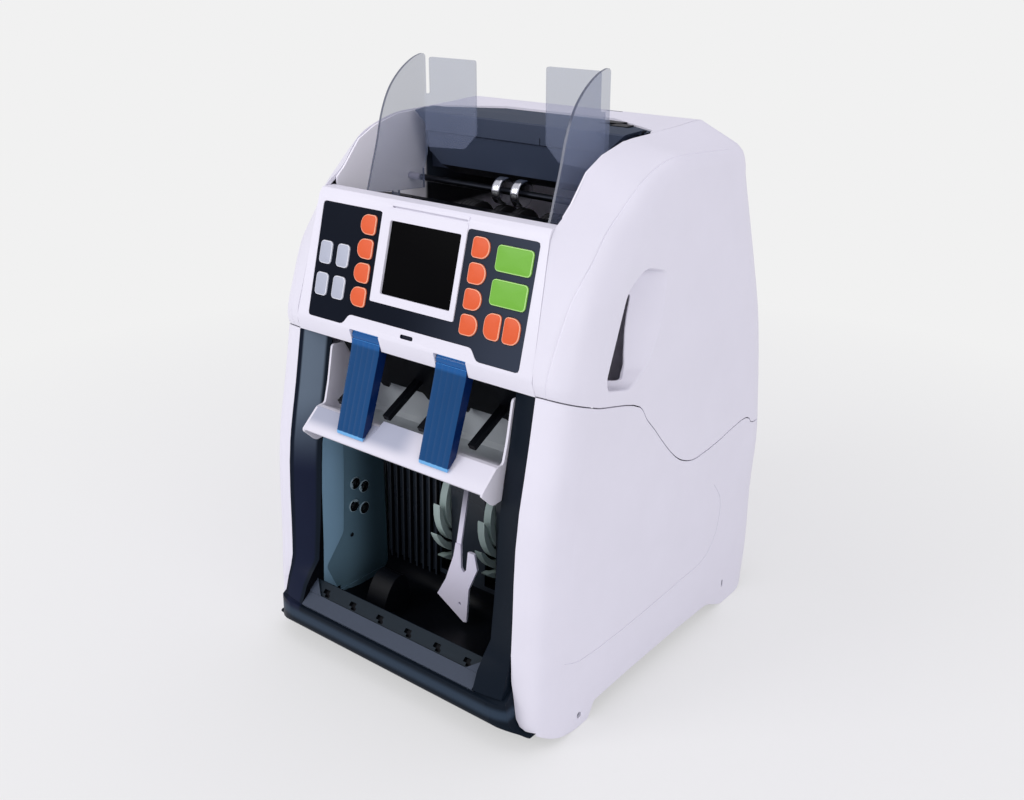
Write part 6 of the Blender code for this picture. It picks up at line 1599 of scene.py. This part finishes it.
def pocket_wall(word, side):
    node = "stacker_%s_wall" % word
    face = POCKET_HALF + FIT

    def bored(name, steps, place, sides=48):
        """Turned solid; a step is its distance behind the wall's face, and its radius."""
        return turned(name, [(side * (face + deep), radius) for deep, radius in steps],
                      place, sides)

    field = soften([(y * MM, z * MM) for y, z in FIELD], FIELD_CORNER)
    wall = cut(clean_copy(node), prism("field", field, side * (face - WALL_THICK),
                                       side * (face + FIELD_DEEP), across_x))
    join(wall, *[bored("rim", [(FIELD_DEEP + FIT, RIM_RADIUS), (0.2 * MM, 6.2 * MM),
                               (-0.1 * MM, 5.6 * MM)], place) for place in HOLES])
    cut(wall, *[bored("hole", [(-WALL_THICK, HOLE_RADIUS), (9 * MM, HOLE_RADIUS)], place)
                for place in HOLES],
        bored("dimple", [(-MM, DIMPLE_RADIUS), (1.8 * MM, DIMPLE_RADIUS)], DIMPLE_AT, 20))

    def which(c, n):
        """The wall's front; painted shade on its sunken field and back; a painted highlight on
        the rims; black painted shade in the holes and the dimple.
        """
        away = min(math.hypot(c.y - y, c.z - z) for y, z in HOLES)
        if away < RIM_RADIUS + 0.1 * MM and abs(c.x) < face + 0.8 * MM:
            return 2 if away > HOLE_RADIUS + 0.1 * MM else 3
        dimple = math.hypot(c.y - DIMPLE_AT[0], c.z - DIMPLE_AT[1]) < DIMPLE_RADIUS + 0.1 * MM
        if away < HOLE_RADIUS + 0.2 * MM or dimple:
            return 3
        return int(abs(c.x) > face + 0.5 * MM or c.y > -131 * MM)

    paint(wall, [ABS_STACKER, ABS_WALL_PAINTED_SHADE, RIM_PAINTED_HIGHLIGHT, ABS_BLACK], which)
    finished(wall, node, "stacker_plastic", 0.25)


for word, side in SIDES:
    pocket_wall(word, side)

# %% [markdown]
# ## Stacker tray
# The black tray is one sheet that curves under and behind the notes, with slots where the
# bladed wheels reach through. Its ribs hold the notes off the sheet, so that they don't
# cling. They are one rib repeated by the same tree, and a curved tongue stands on the floor.

# %% The tray with its ribs and tongue
STACKER_TRAY = [(-0.3985, 0.0652), (-0.3600, 0.0590), (-0.3160, 0.0560), (-0.2500, 0.0610),
                (-0.2310, 0.0770), (-0.2246, 0.1000), (-0.2160, 0.3850)]
RIB = [(-0.2370, 0.0950), (-0.2246, 0.0950), (-0.2160, 0.3830), (-0.2270, 0.3830)]
TRAY_SHEET, WHEEL_SLOT, RIB_WIDE, RIB_PITCH = 2.5 * MM, 13 * MM, 2.4 * MM, 8.5 * MM
RIB_ROWS = [(-96 * MM, 8), (45 * MM, 6)]
TONGUE = [(-152, 36.5), (-146, 52), (-139, 64), (-131, 71), (-123, 72), (-118, 68),
          (-115, 58), (-113, 46), (-112, 36.5)]


def stacker_tray():
    half = POCKET_HALF - FIT
    path = [tuple(p) for p in spline(places(STACKER_TRAY), 5)]
    tray = prism("stacker_tray_moulded", strip(path, TRAY_SHEET), -half, half, across_x)
    ribs = []
    for first, count in RIB_ROWS:
        rib = prism("rib", [(y + FIT, z) for y, z in places(RIB)], -RIB_WIDE / 2,
                    RIB_WIDE / 2, across_x)
        round_edges(rib, 0.7, 30, 2)
        ribs.append(repeated(rib, Count=count, Step=(RIB_PITCH, 0, 0), Centre=(first, 0, 0),
                             Finish=ABS_RIB_PAINTED_HIGHLIGHT))
    tongue = prism("tongue", [p * MM for p in spline(TONGUE, 4)], -66 * MM, -42 * MM,
                   across_x)
    join(tray, *ribs, tongue)
    back = body_y(-0.226)
    cut(tray, *[block("slot", (side * WHEEL_CENTRE - WHEEL_SLOT / 2, back - OVER,
                               body_z(0.110)),
                      (side * WHEEL_CENTRE + WHEEL_SLOT / 2, back + OVER, body_z(0.330)))
                for _, side in SIDES])
    front = body_y(-0.2290)
    # Faces near the front that turn forwards, on the ribs and the sheet, take the lighter black
    # as a painted highlight
    paint(tray, [ABS_BLACK, ABS_RIB_PAINTED_HIGHLIGHT], lambda c, n: abs(c.y - front) < 5 * MM
          and c.z > body_z(0.097) and abs(n.x) < 0.9 and n.y < -0.3)
    finished(tray, "stacker_tray", "black_plastic", 0.3)


stacker_tray()

# %% [markdown]
# ## Reject pocket
# The white reject tray has a leaning front apron with a wedge between the stoppers, a sloping
# floor, and side walls that show as thin white edges beside the columns. The black chute
# above it ends in four fingers. Each finger grows out of a flared root.

# %% Reject tray and chute
REJECT = [(-0.4904, 0.4530), (-0.4410, 0.4873), (-0.4300, 0.4873), (-0.3200, 0.4450),
          (-0.2700, 0.4400), (-0.2590, 0.4480), (-0.2590, 0.5550)]
REJECT_WALL = [(-0.4904, 0.4480), (-0.4904, 0.4534), (-0.4412, 0.4875), (-0.4190, 0.4875),
               (-0.4040, 0.5270), (-0.3850, 0.5970), (-0.2570, 0.5900), (-0.2570, 0.4340),
               (-0.4560, 0.4210)]
CHUTE = [(-0.3650, 0.6213), (-0.2966, 0.5230)]
FINGER = [(-0.3150, 0.5480), (-0.4300, 0.5010)]
ROOT = [(-16, -12), (-16, -3), (-13, -1), (-8, 1), (-5, 5), (-3.5, 11), (3.5, 11), (6, 6),
        (11, 2), (17, -1), (17, -12)]
FINGERS, FINGER_HALF, FINGER_DEEP = (-75, -20, 20, 75), 3.5, 5 * MM
WEDGE_HALF, WEDGE_BEND, WEDGE_TOP, WALL_SHEET = 31 * MM, 10 * MM, 0.78, 2.2 * MM


def reject_tray():
    half = POCKET_HALF - 0.5 * MM
    path = places(REJECT)
    tray = prism("reject_tray_moulded", strip(path, TRAY_SHEET), -half + MM, half - MM,
                 across_x)
    walls = [prism("wall", soften(places(REJECT_WALL), 3 * MM, 4), side * (half - WALL_SHEET),
                   side * half, across_x) for _, side in SIDES]
    front, back = Vector(path[0]), Vector(path[1])
    foot = front + (back - front).normalized() * 1.5 * MM - Vector((0, 0.4 * MM))
    crest, heel = back + Vector((4 * MM, 4.5 * MM)), back + Vector((12 * MM, -5 * MM))
    section = [(foot, 1), (crest, WEDGE_TOP), (heel, WEDGE_TOP),
               (heel - Vector((14 * MM, 0)), 1)]
    wedge = loft("wedge", [[Vector((x * share, *p)) for p, share in section]
                           for x in (-WEDGE_HALF, -WEDGE_BEND, WEDGE_BEND, WEDGE_HALF)])
    join(tray, *walls, wedge)

    def which(c, n):
        """The side walls and upright faces, the tray with its painted shade, or the wedge's top
        with its painted shadow.
        """
        if abs(n.x) > 0.7 or abs(c.x) > half - 2.5 * MM:
            return 0
        return 2 if abs(c.x) < WEDGE_HALF + 0.1 * MM and c.y < heel.x and n.z > 0.3 else 1

    paint(tray, [ABS_WHITE, ABS_TRAY, ABS_WEDGE], which)
    finished(tray, "reject_tray", "white_plastic", 0.5, 3, 25)


def reject_chute():
    half = POCKET_HALF - 6.5 * MM
    top, low = (Vector(p) for p in places(CHUTE))
    down = (low - top).normalized()
    out = Vector((down.y, -down.x))

    def on_chute(u, v, w):
        place = low + down * v + out * w
        return Vector((u, place.x, place.y))

    chute = prism("reject_chute_moulded", strip(places(CHUTE), TRAY_SHEET), -half, half,
                  across_x)
    parts = []
    for centre in FINGERS:
        root = [((centre + u) * MM, v * MM) for u, v in ROOT]
        parts += [prism("root", root, -TRAY_SHEET - 0.2 * MM, 0.6 * MM, on_chute),
                  prism("finger", strip(places(FINGER), FINGER_DEEP),
                        (centre - FINGER_HALF) * MM, (centre + FINGER_HALF) * MM, across_x)]
    join(chute, *parts)
    finished(chute, "reject_chute", "black_plastic", 0.6, 3, 30)


reject_tray()
reject_chute()

# %% [markdown]
# ## Feeder head
# The head is a faceted dark bar over the note path, with its front corners clipped. Its faces
# take tones of one navy ABS painted by which way they turn: a slate tone on top as painted
# light, and black on the clips and below as painted shade. A thin deck carries its top back
# into the hopper's mouth, with four low catches at the right.

# %% Feeder head
HEAD = [(0.0300, 0.9978), (-0.0400, 0.9960), (-0.0414, 0.9935), (-0.0405, 0.9600),
        (-0.0330, 0.9570), (-0.0200, 0.8950), (0.0107, 0.8771), (0.1070, 0.8771),
        (0.1070, 0.9850), (0.0300, 0.9850)]
HEAD_CLIP = [(0.704, 0.9980), (0.619, 0.9725), (0.625, 0.9195), (0.585, 0.9078),
             (0.445, 0.8560), (0.760, 0.8560), (0.760, 0.9980)]
HEAD_TEETH, TOOTH_WIDE, DECK_CORNER = (24, 34), 5, (118 * MM, 16 * MM)
# Left, front, right and rear edge of each catch, and its height, in mm
CATCHES = [(58, 36, 80, 46, 0.9), (76, 26, 92, 38, 0.5), (96, 12, 116, 20, 0.8),
           (84, 2, 112, 9, 0.4)]


def feeder_head():
    half, top = CHEEK_HALF - FIT * 3 - 2 * MM, body_z(0.9950)
    head = prism("feeder_head_moulded", places(HEAD), -half, half, across_x)
    cut(head, *[prism("clip", [(side * x * HALF_WIDTH, body_z(z)) for x, z in HEAD_CLIP],
                      -BODY_DEPTH / 2, body_y(0.0374), across_y) for _, side in SIDES])
    teeth = [block("tooth", (x * MM, body_y(-0.0425), body_z(0.9600)),
                   ((x + TOOTH_WIDE) * MM, body_y(-0.0330), body_z(0.9720)))
             for x in HEAD_TEETH]
    plate = [(x - math.copysign(0.4 * MM, x), y - 0.4 * MM) for x, y in HOPPER_MOUTH[1:-1]]
    deck = prism("deck", [(-DECK_CORNER[0], DECK_CORNER[1])] + plate + [DECK_CORNER],
                 top - 2.6 * MM, top - 0.8 * MM, across_z)
    catches = [prism("catch", [(u * MM, v * MM) for u, v in oblong(*edges)], top - 2 * MM,
                     top + tall * MM, across_z) for *edges, tall in CATCHES]
    join(head, *teeth, deck, *catches)

    def which(c, n):
        """The front face, the top in its slate tone of painted light, or black: the catches,
        and painted shade on the clips and below.
        """
        if c.z > top - 0.5 * MM and c.x > 55 * MM and n.z < 0.9:
            return 2
        if n.z > 0.8:
            return 2 if c.x > 55 * MM and 24 * MM < c.y < 48 * MM and c.z > top else 1
        return 2 if c.z < body_z(0.90) or abs(n.x) > 0.7 else 0

    paint(head, [HEAD_FACE, HEAD_TOP_PAINTED_LIGHT, ABS_BLACK], which)
    finished(head, "feeder_head", "navy_plastic", 0.5, 2, 25)


feeder_head()

# %% [markdown]
# ## Press arm
# A fork hangs into the stacker pocket and lies on the growing stack. It keeps its CAD shape,
# but for the right rail, which ends above the short prong.

# %% Press arm
RAIL_GAP = (30 * MM, -140 * MM, 117 * MM), (38.5 * MM, -40 * MM, 193 * MM)
arm = cut(clean_copy("stack_press_arm"), block("gap", *RAIL_GAP))
# The arm takes white ABS with painted shade that greys it upwards
paint(arm, [ABS_ARM], lambda c, n: 0)
finished(arm, "stack_press_arm", "white_plastic", 0.35, 2, 35)

# %% [markdown]
# ## The pieces that keep their CAD shape
# Feet, film, screen, covers at the back and all that works inside already have the right
# shape. Each only needs its moulded or pressed edges and the finish of its slot. The width
# of an edge is that of a plastic moulding, and less for thin plate, film and the belt.

# %% Round every plain node
SLOT_NODES = {
    "white_plastic": "lower_rear_cover",
    "black_plastic": "base_tray diverter_gate power_inlet power_switch hopper_floor latch_bar",
    "keypad_film": "keypad_overlay",
    "display_glass": "display_module",
    "steel": "chassis_left chassis_right stacker_shaft main_motor motor_pulley",
    "painted_steel": "upper_frame_left upper_frame_right",
    "rubber": "foot_front_left foot_front_right foot_rear_left foot_rear_right drive_belt",
    "circuit_board": "main_board",
}
SLOT_OF = {node: slot for slot, nodes in SLOT_NODES.items() for node in nodes.split()}
THIN = "drive_belt chassis_left chassis_right keypad_overlay".split()
PLAIN_EDGE, THIN_EDGE = 0.4, 0.2
for node in sorted(set(frame["nodes"]) - HAND_MADE):
    softened(node, SLOT_OF[node], THIN_EDGE if node in THIN else PLAIN_EDGE)
print("rounded nodes:", len(SLOT_OF), "made by hand:", len(HAND_MADE))

# %% [markdown]
# ## Floor and light
# The sorter stands on a plain pale floor, as on a photographer's paper roll. The floor shows
# the camera its own even colour, which the backdrop shares, and keeps the shadow near the
# sorter. For all other rays it is plain paper, so it lights the sorter from below as paper
# does.

# %% Paper floor
BACKDROP, PAPER = "F1F1F1", "E9E9EA"
FLOOR_REACH, SHADOW_NEAR, SHADOW_FAR, SHADOW_SHARE = 40, 0.35, 1.1, 0.45


def make_floor():
    mesh = bpy.data.meshes.new("floor")
    mesh.from_pydata([across_z(u, v, 0) for u, v in
                      oblong(-FLOOR_REACH, -FLOOR_REACH, FLOOR_REACH, FLOOR_REACH)], [],
                     [(0, 1, 2, 3)])
    floor = new_piece("floor", mesh)
    material = bpy.data.materials.new("paper_floor")
    material.use_nodes = True
    tree = material.node_tree
    tree.nodes.clear()
    place = add(tree, "ShaderNodeTexCoord")
    reach = add(tree, "ShaderNodeVectorMath", {"Vector": place.outputs["Object"]},
                operation="LENGTH")
    near = add(tree, "ShaderNodeMapRange", {"Value": reach.outputs["Value"]},
               From_Min=SHADOW_NEAR, From_Max=SHADOW_FAR, To_Min=SHADOW_SHARE, To_Max=0.0)
    paper = add(tree, "ShaderNodeBsdfDiffuse", Color=linear(PAPER))
    even = add(tree, "ShaderNodeEmission", Color=linear(BACKDROP), Strength=1.0)
    path = add(tree, "ShaderNodeLightPath")
    shown = add(tree, "ShaderNodeMixShader", {"Fac": near.outputs["Result"],
                                              1: even.outputs[0], 2: paper.outputs[0]})
    seen = add(tree, "ShaderNodeMath", {0: path.outputs["Is Camera Ray"],
                                        1: path.outputs["Is Glossy Ray"]}, operation="MAXIMUM")
    clear = add(tree, "ShaderNodeMath", {0: seen.outputs[0],
                                         1: path.outputs["Is Transmission Ray"]},
                operation="MAXIMUM")
    both = add(tree, "ShaderNodeMixShader", {"Fac": clear.outputs[0], 1: paper.outputs[0],
                                             2: shown.outputs[0]})
    add(tree, "ShaderNodeOutputMaterial", {"Surface": both.outputs[0]})
    floor.data.materials.append(material)
    return floor


print("floor:", make_floor().name)

# %% [markdown]
# ## Studio light
# The room itself gives most of the light, so that the sorter shows its colours nearly as they
# are written. A large key lamp at the left front brightens the panel and the front, a fill
# lamp softens the right side, and a weak lamp above the hopper keeps its depth readable.

# %% World and lamps
ROOM, ROOM_STRENGTH, MIDDLE = "F3F1FA", 0.77, (0, 0, 0.28)
# Place, width in metres and power in watts
LAMPS = {"key_lamp": ((-1.1, -2.1, 1.5), 1.2, 21.5), "top_lamp": ((0.5, -0.2, 2.4), 1.6, 3),
         "fill_lamp": ((2.2, -0.9, 1.2), 1.4, 11.5)}


def make_world():
    world = bpy.data.worlds.new("studio")
    bpy.context.scene.world = world
    world.use_nodes = True
    tree = world.node_tree
    tree.nodes.clear()
    path = add(tree, "ShaderNodeLightPath")
    room = add(tree, "ShaderNodeBackground", Color=linear(ROOM), Strength=ROOM_STRENGTH)
    backdrop = add(tree, "ShaderNodeBackground", Color=linear(BACKDROP), Strength=1.0)
    both = add(tree, "ShaderNodeMixShader", {"Fac": path.outputs["Is Camera Ray"],
                                             1: room.outputs[0], 2: backdrop.outputs[0]})
    add(tree, "ShaderNodeOutputWorld", {"Surface": both.outputs[0]})


def make_lamp(name, at, size, power):
    data = bpy.data.lights.new(name, "AREA")
    data.shape = "SQUARE"
    data.size = size
    data.energy = power
    lamp = bpy.data.objects.new(name, data)
    bpy.context.scene.collection.objects.link(lamp)
    lamp.location = at
    lamp.rotation_mode = "QUATERNION"
    lamp.rotation_quaternion = (Vector(at) - Vector(MIDDLE)).to_track_quat("Z", "Y")


make_world()
for name, settings in LAMPS.items():
    make_lamp(name, *settings)
bpy.context.scene.view_settings.view_transform = "Standard"
print("lamps:", len(LAMPS))
